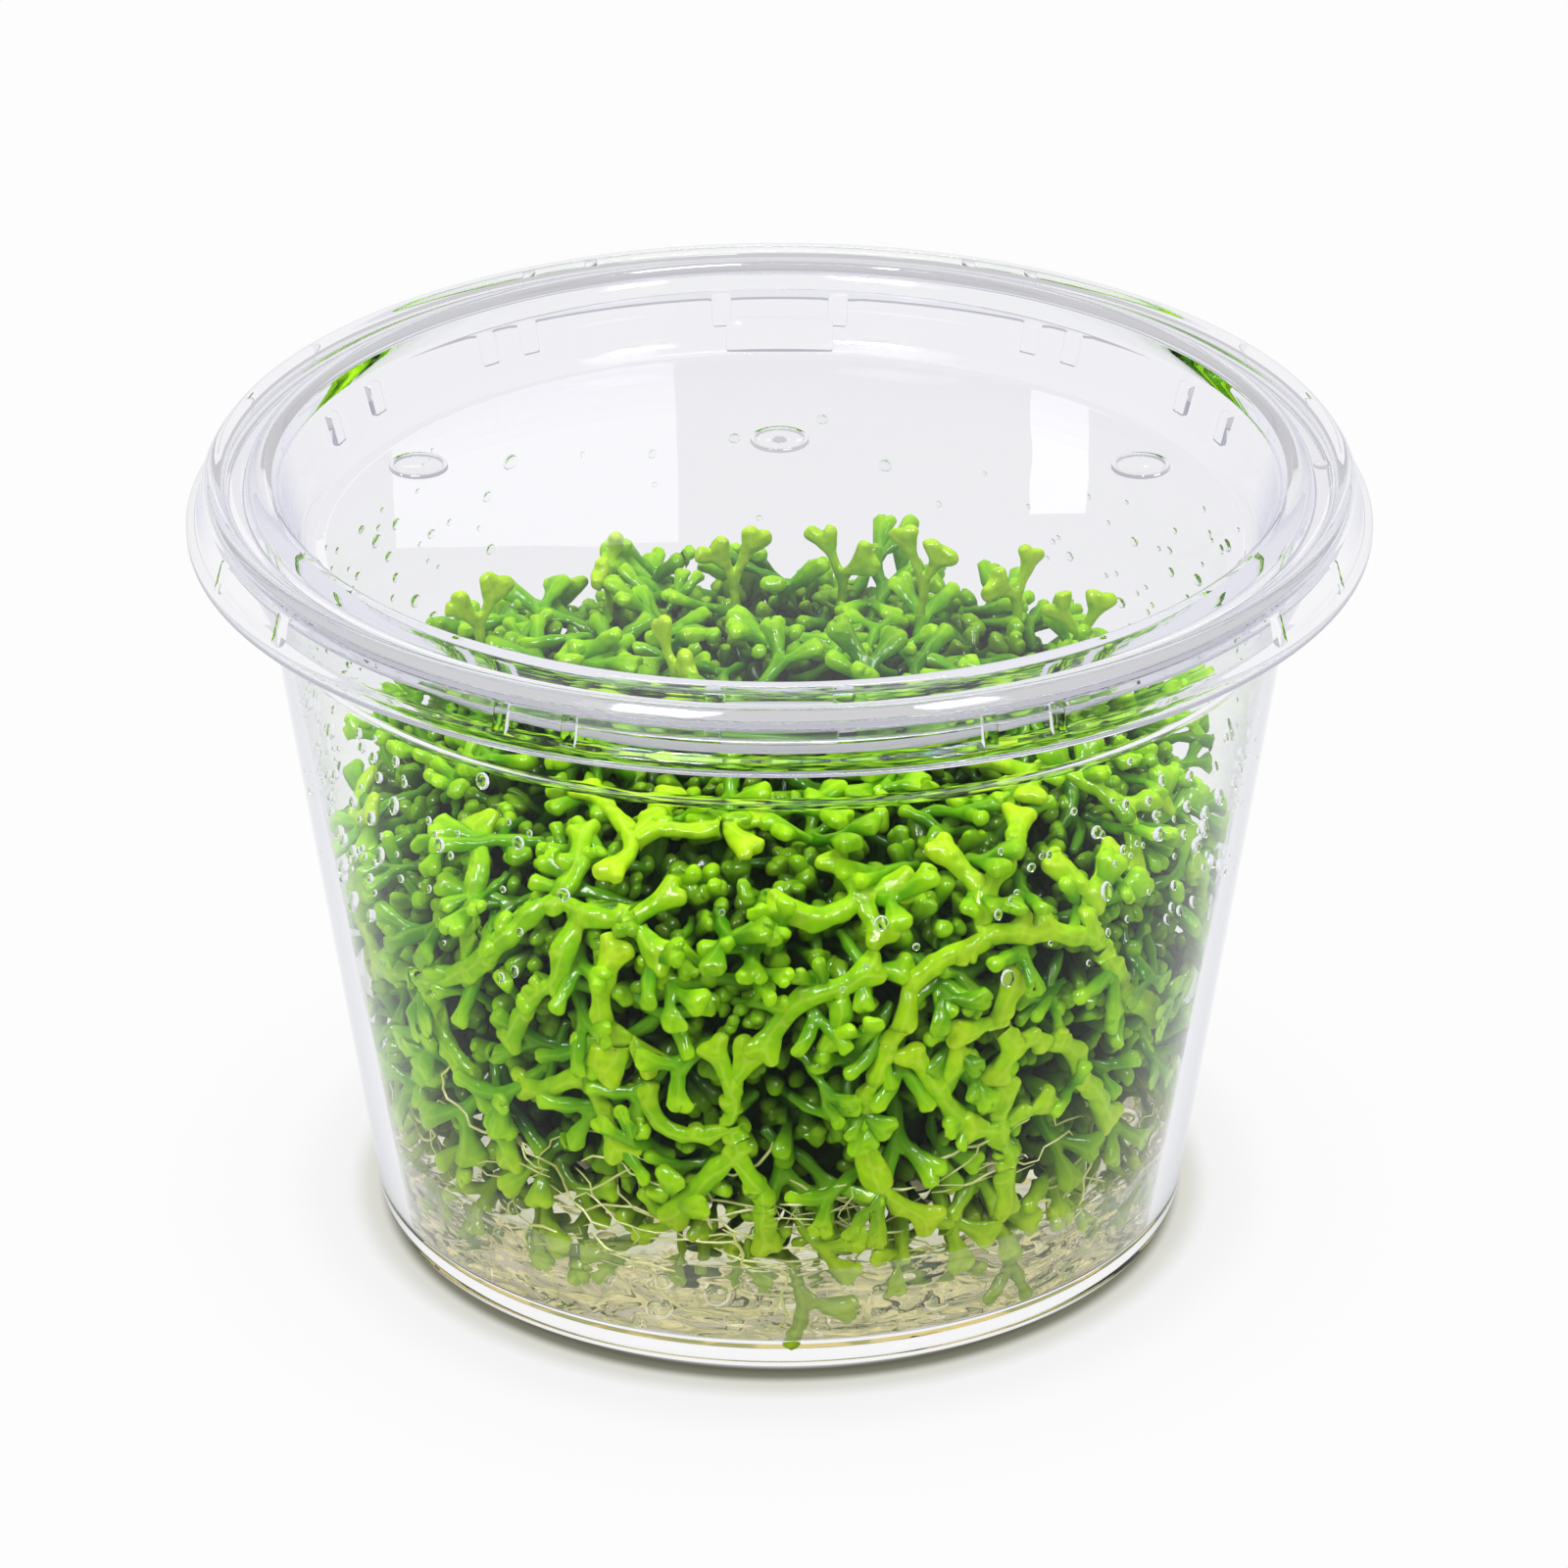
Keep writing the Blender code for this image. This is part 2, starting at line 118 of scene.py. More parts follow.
def on_compass(radius, bearing, height):
    """A point at a bearing in degrees from the front, positive towards +X."""
    angle = math.radians(bearing)
    return Vector((radius * math.sin(angle), -radius * math.cos(angle), height))


def linked(name, data):
    """A new object in the scene for a mesh, a curve, a lamp or a camera."""
    obj = bpy.data.objects.new(name, data)
    bpy.context.scene.collection.objects.link(obj)
    return obj


def joined(objects):
    """Joins several meshes into the first."""
    bpy.ops.object.select_all(action="DESELECT")
    for obj in objects:
        obj.select_set(True)
    bpy.context.view_layer.objects.active = objects[0]
    bpy.ops.object.join()
    bpy.ops.object.select_all(action="DESELECT")
    return objects[0]


def start_drawing(name, place):
    """A new mesh that holds one vertex, selected, in edit mode."""
    bpy.ops.mesh.primitive_plane_add(location=(0, 0, 0))
    obj = bpy.context.object
    obj.name = name
    obj.data.name = name
    bpy.ops.object.mode_set(mode="EDIT")
    bpy.ops.mesh.merge(type="CENTER")
    bpy.ops.transform.translate(value=place)
    return obj


def extrude_along(points):
    """Draws on from the selected vertex, which is at the first point, through the others."""
    for here, there in zip(points, points[1:]):
        bpy.ops.mesh.extrude_vertices_move(TRANSFORM_OT_translate={"value": Vector(there) - Vector(here)})


def turned(name, outline, rounding, steps=TURN_STEPS):
    """Draws an outline of (radius, height), rounds its corners and spins it about the axis."""
    points = [Vector((radius, 0.0, height)) for radius, height in outline]
    obj = start_drawing(name, points[0])
    extrude_along(points)
    bpy.ops.mesh.select_all(action="SELECT")
    bpy.ops.mesh.bevel(affect="VERTICES", offset=rounding, segments=3, clamp_overlap=True)
    bpy.ops.mesh.select_all(action="SELECT")
    bpy.ops.mesh.spin(steps=steps, angle=2 * math.pi, center=(0, 0, 0), axis=(0, 0, 1))
    bpy.ops.mesh.select_all(action="SELECT")
    bpy.ops.mesh.remove_doubles(threshold=WELD)
    bpy.ops.mesh.normals_make_consistent(inside=False)
    bpy.ops.object.mode_set(mode="OBJECT")
    bpy.ops.object.shade_smooth_by_angle(angle=CREASE)
    return obj


def let_light_in(obj):
    """Lets light reach what is inside a clear piece, and the table, without a shadow."""
    obj.visible_shadow = False
    obj.visible_diffuse = False


def settle(obj, node):
    """Puts a finished piece on the cup's one body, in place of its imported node."""
    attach(obj, "root")
    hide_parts(node)


ledge_top = LEDGE_HEIGHT + 0.7 * MM
cup = turned(
    "clear_cup",
    (
        (0.0, FLOOR_TOP), (cup_inside(0.0) - 1.4 * MM, FLOOR_TOP), (cup_inside(2.6 * MM), 2.6 * MM),
        (cup_inside(LEDGE_HEIGHT), LEDGE_HEIGHT), (cup_inside(ledge_top), ledge_top),
        (cup_inside(CUP_TOP), CUP_TOP), (FLANGE_RADIUS, CUP_TOP), (FLANGE_RADIUS, CUP_TOP - 1.7 * MM),
        (FLANGE_RADIUS - 0.7 * MM, CUP_TOP - 1.7 * MM), (FLANGE_RADIUS - 0.8 * MM, CUP_TOP - 0.8 * MM),
        (cup_outside(CUP_TOP - 0.8 * MM), CUP_TOP - 0.8 * MM), (cup_outside(ledge_top), ledge_top),
        (cup_outside(LEDGE_HEIGHT), LEDGE_HEIGHT), (cup_outside(1.0 * MM), 1.0 * MM),
        (CUP_BASE_RADIUS - 0.4 * MM, 0.0), (CUP_BASE_RADIUS - 2.6 * MM, 0.0),
        (CUP_BASE_RADIUS - 3.0 * MM, FLOOR_UNDER), (0.0, FLOOR_UNDER),
    ),
    0.3 * MM,
)


# Clear polystyrene from a polished mould: colourless, with a hard gloss and a faint waviness from the mould.
# Where the eye looks along it the colour turns violet-grey, a painted reflection of the darker surroundings.
# The walls are thin, so they bend light less than a block of the plastic would.
# the painted violet-grey reflection comes in between these shares of a full grazing view
GRAZING = (0.66, 0.98)  # between these shares of a full grazing view the cast comes in
WAVE_WIDTH = 50 / 3 * MM
WAVE_HEIGHT = 0.4 * MM


def plastic_material(name, tint, painted_edge_reflection, bending, glint):
    made, tree, place = new_material(name)
    waves = add_node(tree, "TexNoise", {"Vector": place, "Scale": 1 / WAVE_WIDTH, "Detail": 1.0})
    wavy = add_node(tree, "Bump", {"Height": waves, "Strength": 0.025, "Distance": WAVE_HEIGHT})
    facing = add_node(tree, "LayerWeight", {"Blend": 0.5})
    along = add_node(
        tree, "MapRange",
        {"Value": facing.outputs["Facing"], "From Min": GRAZING[0], "From Max": GRAZING[1]},
        interpolation_type="SMOOTHSTEP",
    )
    # painted reflection: the base colour turns violet-grey where the surface is seen along its length
    cast = add_node(tree, "Mix", {0: along, 6: linear(tint), 7: linear(painted_edge_reflection)}, data_type="RGBA")
    plastic = add_node(
        tree, "BsdfPrincipled",
        {
            "Base Color": cast.outputs[2], "Roughness": 0.0, "IOR": bending, "Specular Tint": linear(glint),
            "Transmission Weight": 1.0, "Normal": wavy,
        },
    )
    finish_clear(tree, plastic, "#FAFAFC")
    return made


# the second colour is the painted violet-grey reflection at grazing views
cup.data.materials.append(
    plastic_material("clear polystyrene, drawn thin", "#FAFAFB", "#A6ACBC", 1.2, "#808088")
)
let_light_in(cup)
settle(cup, "cup")


# The nutrient gel
# A bed of clear agar jelly, pale yellow, cast on the cup's floor. It creeps up the wall at its edge, and
# air bubbles are caught in it as round hollows.

GEL_TOP = 9.6 * MM
GEL_GAP = 0.02 * MM
BUBBLE_COUNT = 90
BUBBLE_RADIUS = (0.35 * MM, 1.15 * MM)


def store(mesh, title, values):
    """Keeps one number for each point of a mesh, for its material to read."""
    layer = mesh.attributes.get(title) or mesh.attributes.new(title, "FLOAT", "POINT")
    layer.data.foreach_set("value", np.asarray(values, np.float32))


def points_of(mesh):
    points = np.empty(len(mesh.vertices) * 3)
    mesh.vertices.foreach_get("co", points)
    return points.reshape(-1, 3)


def move_points(mesh, points):
    mesh.vertices.foreach_set("co", points.ravel())
    mesh.update()


def as_arrays(obj, titles=()):
    """The object's points, its faces and its notes as arrays. The object itself is removed."""
    mesh = obj.data
    faces = np.array([list(face.vertices) for face in mesh.polygons])
    notes = {title: np.array([item.value for item in mesh.attributes[title].data]) for title in titles}
    arrays = (points_of(mesh), faces, notes)
    bpy.data.objects.remove(obj)
    return arrays


def placed_copies(name, copies):
    """One object of many copies, each given by its arrays and the matrix that places it."""
    points, faces, notes, start = [], [], {}, 0
    for (own_points, own_faces, own_notes), matrix in copies:
        matrix = np.array(matrix)
        points.append(own_points @ matrix[:3, :3].T + matrix[:3, 3])
        faces.append(own_faces + start)
        start += len(own_points)
        for title, values in own_notes.items():
            notes.setdefault(title, []).append(values)
    points, faces = np.concatenate(points), np.concatenate(faces)
    mesh = bpy.data.meshes.new(name)
    mesh.vertices.add(len(points))
    mesh.vertices.foreach_set("co", points.ravel())
    mesh.loops.add(faces.size)
    mesh.loops.foreach_set("vertex_index", faces.ravel())
    mesh.polygons.add(len(faces))
    mesh.polygons.foreach_set("loop_start", np.arange(len(faces)) * faces.shape[1])
    mesh.update(calc_edges=True)
    mesh.shade_smooth()
    for title, values in notes.items():
        store(mesh, title, np.concatenate(values))
    return linked(name, mesh)


gel_edge = cup_inside(GEL_TOP) - GEL_GAP
gel = turned(
    "agar_gel",
    (
        (0.0, GEL_TOP), (9.0 * MM, GEL_TOP), (18.0 * MM, GEL_TOP), (26.0 * MM, GEL_TOP),
        (gel_edge - 1.2 * MM, GEL_TOP), (gel_edge, GEL_TOP + 0.6 * MM),
        (cup_inside(2.7 * MM) - GEL_GAP, 2.7 * MM),
        (cup_inside(0.0) - GEL_GAP - 1.4 * MM, FLOOR_TOP + GEL_GAP), (0.0, FLOOR_TOP + GEL_GAP),
    ),
    0.25 * MM,
)

# The bubbles: small ones are common, and most of those that show lie within a few millimetres of the wall
bpy.ops.mesh.primitive_ico_sphere_add(subdivisions=3, radius=1.0, location=(0, 0, 0))
bpy.ops.object.mode_set(mode="EDIT")
bpy.ops.mesh.flip_normals()
bpy.ops.object.mode_set(mode="OBJECT")
hollow = as_arrays(bpy.context.object)
rng = random.Random(11)
placed, copies = [], []
while len(placed) < BUBBLE_COUNT:
    radius = BUBBLE_RADIUS[0] + (BUBBLE_RADIUS[1] - BUBBLE_RADIUS[0]) * rng.random() ** 1.7
    height = rng.uniform(FLOOR_TOP + radius + 0.3 * MM, GEL_TOP - radius - 0.4 * MM)
    wall = cup_inside(height) - radius - 0.5 * MM
    centre = on_compass(wall - 7 * MM * rng.random() ** 2, rng.uniform(-180, 180), height)
    if all((centre - other).length > radius + reach + 0.3 * MM for other, reach in placed):
        placed.append((centre, radius))
        squash = Matrix.Diagonal((radius, radius, radius * rng.uniform(0.85, 1.0), 1))
        copies.append((hollow, Matrix.Translation(centre) @ squash))
joined([gel, placed_copies("air_bubbles", copies)])

# The agar is water held by a little seaweed jelly, slightly clouded: it bends light as water does. Its
# colour is cream with grey-green in soft blotches, and the grey-green is a painted reflection of the plants
# above.
BLOTCH_WIDTH = 7.0 * MM
agar, tree, place = new_material("cast agar jelly")
wide = add_node(tree, "Mapping", {"Vector": place, "Scale": (1.0, 1.0, 2.6)})
blotches = add_node(
    tree, "TexNoise", {"Vector": wide, "Scale": 1 / BLOTCH_WIDTH, "Detail": 1.0, "Distortion": 1.2}
)
uneven = add_node(tree, "Bump", {"Height": blotches, "Strength": 0.8, "Distance": 1.6 * MM})
# painted reflection: grey-green blotches over cream stand for the plants seen through the gel
cream_with_painted_reflection = add_node(tree, "ValToRGB", {0: blotches})
cream_with_painted_reflection.color_ramp.elements[0].position = 0.46
cream_with_painted_reflection.color_ramp.elements[0].color = linear("#E4E6CA")
cream_with_painted_reflection.color_ramp.elements[1].position = 0.53
cream_with_painted_reflection.color_ramp.elements[1].color = linear("#FFFDE6")
jelly = add_node(
    tree, "BsdfPrincipled",
    {"Base Color": cream_with_painted_reflection, "Roughness": 0.0, "IOR": 1.3, "Transmission Weight": 0.88, "Normal": uneven},
)
depths = add_node(tree, "VolumeAbsorption", {"Color": linear("#F3ECB8"), "Density": 1.8})
finish_clear(tree, jelly, "#F8F2DA", Volume=depths)

gel.data.materials.clear()
gel.data.materials.append(agar)
let_light_in(gel)
settle(gel, "nutrient_gel")


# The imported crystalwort
# Thousands of narrow thalli, each forking again and again to blunt, notched tips, grown together into one
# mound that stands on the gel. A few plants are modelled and copied all over a dark heart.

MOUND_FOOT = (32.8 * MM, GEL_TOP + 0.3 * MM)
MOUND_SHOULDER = (35.8 * MM, 33.0 * MM)
MOUND_BROW = (25.0 * MM, 44.5 * MM)
MOUND_CROWN = 46.0 * MM
WALL_CLEARANCE = 0.12 * MM
noise.seed_set(7)  # without a seed the vector noise differs from run to run


def mound_profile():
    """The mound's outline as (radius, height) from its foot to its crown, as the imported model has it."""
    points = []
    for step in range(24):
        share = step / 24
        radius = MOUND_FOOT[0] + (MOUND_SHOULDER[0] - MOUND_FOOT[0]) * share
        height = MOUND_FOOT[1] + (MOUND_SHOULDER[1] - MOUND_FOOT[1]) * share
        points.append((radius, height))
    for step in range(18):
        angle = math.pi / 2 * step / 18
        radius = MOUND_BROW[0] + (MOUND_SHOULDER[0] - MOUND_BROW[0]) * math.cos(angle)
        height = MOUND_SHOULDER[1] + (MOUND_BROW[1] - MOUND_SHOULDER[1]) * math.sin(angle)
        points.append((radius, height))
    for step in range(26):
        share = step / 25
        height = MOUND_BROW[1] + (MOUND_CROWN - MOUND_BROW[1]) * (1 - (1 - share) ** 2)
        points.append((MOUND_BROW[0] * (1 - share), height))
    return points


PROFILE = mound_profile()
CLIMB_MOST = sum(math.hypot(b[0] - a[0], b[1] - a[1]) for a, b in zip(PROFILE, PROFILE[1:]))


def along_profile(climb):
    """The outline's point this far from its foot, and its outward normal, as (radius, height) pairs."""
    left = climb
    for (r0, h0), (r1, h1) in zip(PROFILE, PROFILE[1:]):
        length = math.hypot(r1 - r0, h1 - h0)
        if left <= length:
            break
        left -= length
    share = min(left / length, 1.0)
    normal = ((h1 - h0) / length, -(r1 - r0) / length)
    return (r0 + (r1 - r0) * share, h0 + (h1 - h0) * share), normal


def on_mound(bearing, climb, lift):
    """A point over the mound's surface and the outward direction there."""
    (radius, height), (out, up) = along_profile(climb)
    outwards = on_compass(out, bearing, up)
    return on_compass(radius, bearing, height) + outwards * lift, outwards


class Sketch:
    """A plant's line drawing: places joined by runs, each with its thickness and how near a tip it is."""

    def __init__(self, place, normal, radius, tip=0.0):
        self.places = [Vector(place)]
        self.normals = [Vector(normal)]
        self.radii = [radius]
        self.tips = [tip]
        self.runs = []

    def run(self, start, steps):
        """Draws on from a place by its number through steps of (place, normal, radius, tip)."""
        numbers = [start]
        for place, normal, radius, tip in steps:
            self.places.append(Vector(place))
            self.normals.append(Vector(normal))
            self.radii.append(radius)
            self.tips.append(tip)
            numbers.append(len(self.places) - 1)
        self.runs.append(numbers)
        return numbers[-1]


def fleshed(name, sketch, levels, flatness, keep=1.0):
    """Gives a line drawing flesh, flattens it, and notes its mid line and its tips.

    Of the faces only the share in keep stays, for plants that are copied by the hundred.
    """
    obj = start_drawing(name, sketch.places[0])
    for numbers in sketch.runs:
        bpy.ops.mesh.select_all(action="DESELECT")
        bpy.ops.object.mode_set(mode="OBJECT")
        obj.data.vertices[numbers[0]].select = True
        bpy.ops.object.mode_set(mode="EDIT")
        extrude_along([sketch.places[number] for number in numbers])
    bpy.ops.object.mode_set(mode="OBJECT")
    skin = obj.modifiers.new("skin", "SKIN")
    skin.branch_smoothing = 0.6
    skin.use_x_symmetry = False
    layer = obj.data.skin_vertices[0].data
    for number, radius in enumerate(sketch.radii):
        layer[number].radius = (radius, radius)
        layer[number].use_root = number == 0
    rounding = obj.modifiers.new("rounding", "SUBSURF")
    rounding.levels = levels
    rounding.render_levels = levels
    obj.modifiers.new("thinning", "DECIMATE").ratio = keep
    obj.modifiers.new("triangles", "TRIANGULATE")
    for modifier in ("skin", "rounding", "thinning", "triangles"):
        bpy.ops.object.modifier_apply(modifier=modifier)

    points = points_of(obj.data)
    best = np.full(len(points), np.inf)
    middle, facing = np.zeros((len(points), 3)), np.zeros((len(points), 3))
    across, tips = np.zeros(len(points)), np.zeros(len(points))
    for numbers in sketch.runs:
        for a, b in zip(numbers, numbers[1:]):
            start, end = np.array(sketch.places[a]), np.array(sketch.places[b])
            along = end - start
            share = np.clip((points - start) @ along / max(along @ along, 1e-12), 0, 1)
            nearest = start + share[:, None] * along
            gap = np.linalg.norm(points - nearest, axis=1)
            closer = gap < best
            normal = np.array((sketch.normals[a] + sketch.normals[b]).normalized())
            side = np.cross(along / max(np.linalg.norm(along), 1e-9), normal)
            best[closer] = gap[closer]
            middle[closer] = nearest[closer]
            facing[closer] = normal
            across[closer] = ((points - nearest) @ side)[closer]
            tips[closer] = (sketch.tips[a] + (sketch.tips[b] - sketch.tips[a]) * share)[closer]
    thickness = np.sum((points - middle) * facing, axis=1)
    move_points(obj.data, points - facing * (thickness * (1 - flatness))[:, None])
    store(obj.data, "across", across / MM)
    store(obj.data, "tip", tips)
    return obj


def grow_sprig(seed, step, radius, neck, spread, stem_steps, arm_steps):
    """A small plant: a thin bent stem that forks, and on each arm a tip of one or two round lobes."""
    rng = random.Random(seed)
    facing = Vector((0, 1, 0))

    def branch(sketch, start, heading, steps, width):
        place, made = sketch.places[start], []
        for _ in range(steps):
            heading = (heading + Vector((rng.uniform(-0.4, 0.4), rng.uniform(-0.3, 0.3), 0))).normalized()
            place = place + heading * step * rng.uniform(0.85, 1.15)
            bead = rng.uniform(1.25, 1.55) if len(made) % 2 else rng.uniform(0.7, 0.88)
            made.append((place, facing, radius * width * bead, 0.1))
        return sketch.run(start, made), heading

    def forked(heading, angle):
        twist = Vector((0, rng.uniform(-0.35, 0.35), 0))
        turns = [Matrix.Rotation(side * math.radians(angle), 3, "Y") for side in (-1, 1)]
        return [(turn @ heading + twist).normalized() for turn in turns]

    sketch = Sketch((0, 0, 0), facing, radius * neck)
    stem_end, heading = branch(sketch, 0, Vector((0, 0, 1)), stem_steps, neck)
    for arm_heading in forked(heading, spread * rng.uniform(0.75, 1.25)):
        arm_end, arm_heading = branch(sketch, stem_end, arm_heading, arm_steps, neck * 1.1)
        sketch.tips[arm_end] = 0.5
        lobes = forked(arm_heading, rng.uniform(28, 46)) if rng.random() < 0.5 else [arm_heading]
        for lobe in lobes:
            swell = sketch.places[arm_end] + lobe * radius * rng.uniform(1.3, 1.6)
            blunt = swell + lobe * radius * rng.uniform(0.7, 0.9)
            steps = [(swell, facing, radius * rng.uniform(1.2, 1.5), 0.9)]
            steps.append((blunt, facing, radius * rng.uniform(0.8, 0.95), 1.0))
            sketch.run(arm_end, steps)
    return sketch


def roughened(obj):
    """Gives a smooth plant the small lumps and dents that real thalli have."""
    grain = noise.noise_vector
    points = [
        v.co + grain(v.co / (1.0 * MM)) * (0.1 * MM) + grain(v.co / (2.4 * MM)) * (0.18 * MM)
        for v in obj.data.vertices
    ]
    move_points(obj.data, np.array(points))
    return obj


def kept_in_cup(points):
    """Presses points that would pass the wall back inside."""
    radius = np.hypot(points[:, 0], points[:, 1])
    most = CUP_BASE_RADIUS + CUP_TAPER * points[:, 2] - CUP_WALL - WALL_CLEARANCE
    pull = np.minimum(1.0, most / np.maximum(radius, 1e-9))
    points[:, 0] *= pull
    points[:, 1] *= pull
    return points


def standing(root, heading, twist, size):
    """The matrix that stands a plant on its root, pointing this way, turned about itself and scaled."""
    turn = heading.to_track_quat("Z", "Y").to_matrix().to_4x4()
    return Matrix.Translation(root) @ turn @ Matrix.Rotation(twist, 4, "Z") @ Matrix.Scale(size, 4)


def depth_below(points):
    """How far each point lies under the mound's outline, in millimetres, from its nearest stretch."""
    flat = np.stack([np.hypot(points[:, 0], points[:, 1]), points[:, 2]], axis=1)
    best, signed = np.full(len(flat), np.inf), np.zeros(len(flat))
    for (r0, h0), (r1, h1) in zip(PROFILE[::4], PROFILE[4::4]):
        start, along = np.array((r0, h0)), np.array((r1 - r0, h1 - h0))
        share = np.clip((flat - start) @ along / (along @ along), 0, 1)
        offset = flat - start - share[:, None] * along
        gap = np.sum(offset**2, axis=1)
        normal = np.array((along[1], -along[0])) / np.linalg.norm(along)
        closer = gap < best
        best[closer] = gap[closer]
        signed[closer] = -(offset @ normal)[closer]
    return signed / MM


# Living thallus: soft and full of water, with little sheen of its own, and a film of water gives it small
# hard sparkles. It is lime at the tips, greener down its length, olive near the gel, and a paler line of
# thicker cells runs down its middle. Deep in the mound it goes near black-green: that is painted shade.
FOOT_HEIGHT = (9.0 * MM, 20.0 * MM)  # between these heights the olive of the foot gives way to green
DEEP = (-0.6, 2.8)  # millimetres below the mound's outline between which the light is lost
MIDLINE = (0.05, 0.22)  # millimetres to either side over which the pale mid line fades
CELL_WIDTH = 0.45 * MM  # groups of cells: single cells are too fine to show
PATCH_WIDTH = 6.0 * MM
FILM_WIDTH = 0.8 * MM  # between the swellings of the water film, each of which carries a glint


def thallus_material(name, tip_colour, body_colours, line_strength):
    made, tree, place = new_material(name)
    notes = {
        title: add_node(tree, "Attribute", attribute_name=title).outputs["Fac"]
        for title in ("across", "tip", "depth", "chance")
    }
    cells = add_node(tree, "TexNoise", {"Vector": place, "Scale": 0.5 / CELL_WIDTH, "Detail": 2.0})
    patches = add_node(tree, "TexNoise", {"Vector": place, "Scale": 1 / PATCH_WIDTH, "Detail": 2.0})
    height = add_node(tree, "SeparateXYZ", {0: place})
    variety = add_node(tree, "Math", {0: notes["chance"], 1: patches}, operation="ADD")
    aside = add_node(tree, "Math", {0: notes["across"]}, operation="ABSOLUTE")
    # What each amount follows, the span of it that counts, the amounts at its ends, and the easing
    spans = {
        "body": (variety, (0.45, 1.35), (0.0, 1.0), "SMOOTHSTEP"),
        "ripeness": (notes["chance"], (0.0, 1.0), (0.45, 1.0), "LINEAR"),
        "foot": (height.outputs["Z"], FOOT_HEIGHT, (0.55, 0.0), "SMOOTHSTEP"),
        "speckle": (cells, (0.4, 0.7), (0.0, 0.25), "LINEAR"),
        "line": (aside, MIDLINE, (line_strength, 0.0), "LINEAR"),
        # painted shade: deeper under the outline the colour goes to near black-green
        "sunk": (notes["depth"], DEEP, (0.0, 0.96), "LINEAR"),
    }
    amounts = {
        title: add_node(
            tree,
            "MapRange",
            {"Value": value, "From Min": low, "From Max": high, "To Min": least, "To Max": most},
            interpolation_type=easing,
        )
        for title, (value, (low, high), (least, most), easing) in spans.items()
    }
    ripe = add_node(tree, "Math", {0: notes["tip"], 1: amounts["ripeness"]}, operation="MULTIPLY")
    colour = linear(body_colours[0])
    for amount, over in (
        (amounts["body"], body_colours[1]),
        (ripe, tip_colour),
        (amounts["foot"], "#A9B32C"),
        (amounts["speckle"], "#2F7A06"),
        (amounts["line"], "#E0F45A"),
        (amounts["sunk"], "#0E3C01"),
    ):
        layer = add_node(tree, "Mix", {0: amount, 6: colour, 7: linear(over)}, data_type="RGBA")
        colour = layer.outputs[2]
    beads = add_node(
        tree, "TexVoronoi",
        {"Vector": place, "Scale": 1 / FILM_WIDTH, "Smoothness": 0.6},
        feature="SMOOTH_F1",
    )
    skin = add_node(tree, "Bump", {"Height": beads, "Strength": 0.45, "Distance": 0.3 * MM}, invert=True)
    flesh = add_node(
        tree, "BsdfPrincipled",
        {"Base Color": colour, "Roughness": 0.26, "IOR": 1.4, "Specular IOR Level": 0.045, "Normal": skin},
    )
    add_node(tree, "OutputMaterial", {"Surface": flesh})
    return made


# The heart of the mound: the oldest growth, which no light reaches, seen only as dark green in the gaps; the
# dark green is painted shade. Its underside is a bleached mat of old threads that shows, mirrored, through
# the gel.
HEART_DEPTH = 5.4 * MM
LUMP_HEIGHT = 1.2 * MM
CLUMP_WIDTH = 5 / 3 * MM
MAT_WIDTH = 50 / 11 * MM
CROWN_SINK = 2.4 * MM  # how much deeper it lies under the crown, where the plants stand apart
bpy.ops.mesh.primitive_ico_sphere_add(subdivisions=5, radius=1.0, location=(0, 0, 0))
heart = bpy.context.object
heart.name = "mound_heart"
for vert in heart.data.vertices:
    direction = vert.co.normalized()
    bearing = math.degrees(math.atan2(direction.x, -direction.y))
    surface, outwards = on_mound(bearing, CLIMB_MOST * (1 + direction.z) / 2, 0.0)
    lumps = noise.noise(surface / (3.0 * MM)) + 0.5 * noise.noise(surface / (1.3 * MM))
    lower_crown = CROWN_SINK * max(0.0, direction.z) ** 2
    inner = surface - outwards * (HEART_DEPTH + lower_crown + lumps * LUMP_HEIGHT)
    inner.z = max(inner.z, MOUND_FOOT[1] + 1.5 * MM)
    vert.co = inner
heart.data.shade_smooth()
heart_green, tree, place = new_material("shaded old thallus over a bleached mat")
clumps = add_node(tree, "TexVoronoi", {"Vector": place, "Scale": 1 / CLUMP_WIDTH})
# painted shade: two near-black greens in clumps, for the shaded depths between the plants
shade = add_node(tree, "Mix", {0: clumps, 6: linear("#1A4A02"), 7: linear("#0A2601")}, data_type="RGBA")
mats = add_node(tree, "TexNoise", {"Vector": place, "Scale": 1 / MAT_WIDTH, "Detail": 1.0})
patched = add_node(
    tree, "MapRange", {"Value": mats, "From Min": 0.46, "From Max": 0.54}, interpolation_type="SMOOTHSTEP"
)
roots = add_node(tree, "Mix", {0: patched, 6: linear("#C4CCAC"), 7: linear("#FFF6CF")}, data_type="RGBA")
height = add_node(tree, "SeparateXYZ", {0: place})
above = add_node(
    tree, "MapRange",
    {"Value": height.outputs["Z"], "From Min": GEL_TOP + 2.0 * MM, "From Max": GEL_TOP + 5.0 * MM},
    interpolation_type="SMOOTHSTEP",
)
shade = add_node(tree, "Mix", {0: above, 6: roots.outputs[2], 7: shade.outputs[2]}, data_type="RGBA")
folds = add_node(tree, "Bump", {"Height": clumps, "Strength": 0.8, "Distance": 0.8 * MM})
matt = add_node(
    tree, "BsdfPrincipled",
    {"Base Color": shade.outputs[2], "Roughness": 0.6, "Specular IOR Level": 0.0, "Normal": folds},
)
add_node(tree, "OutputMaterial", {"Surface": matt})
heart.data.materials.append(heart_green)
settle(heart, "crystalwort_mound")

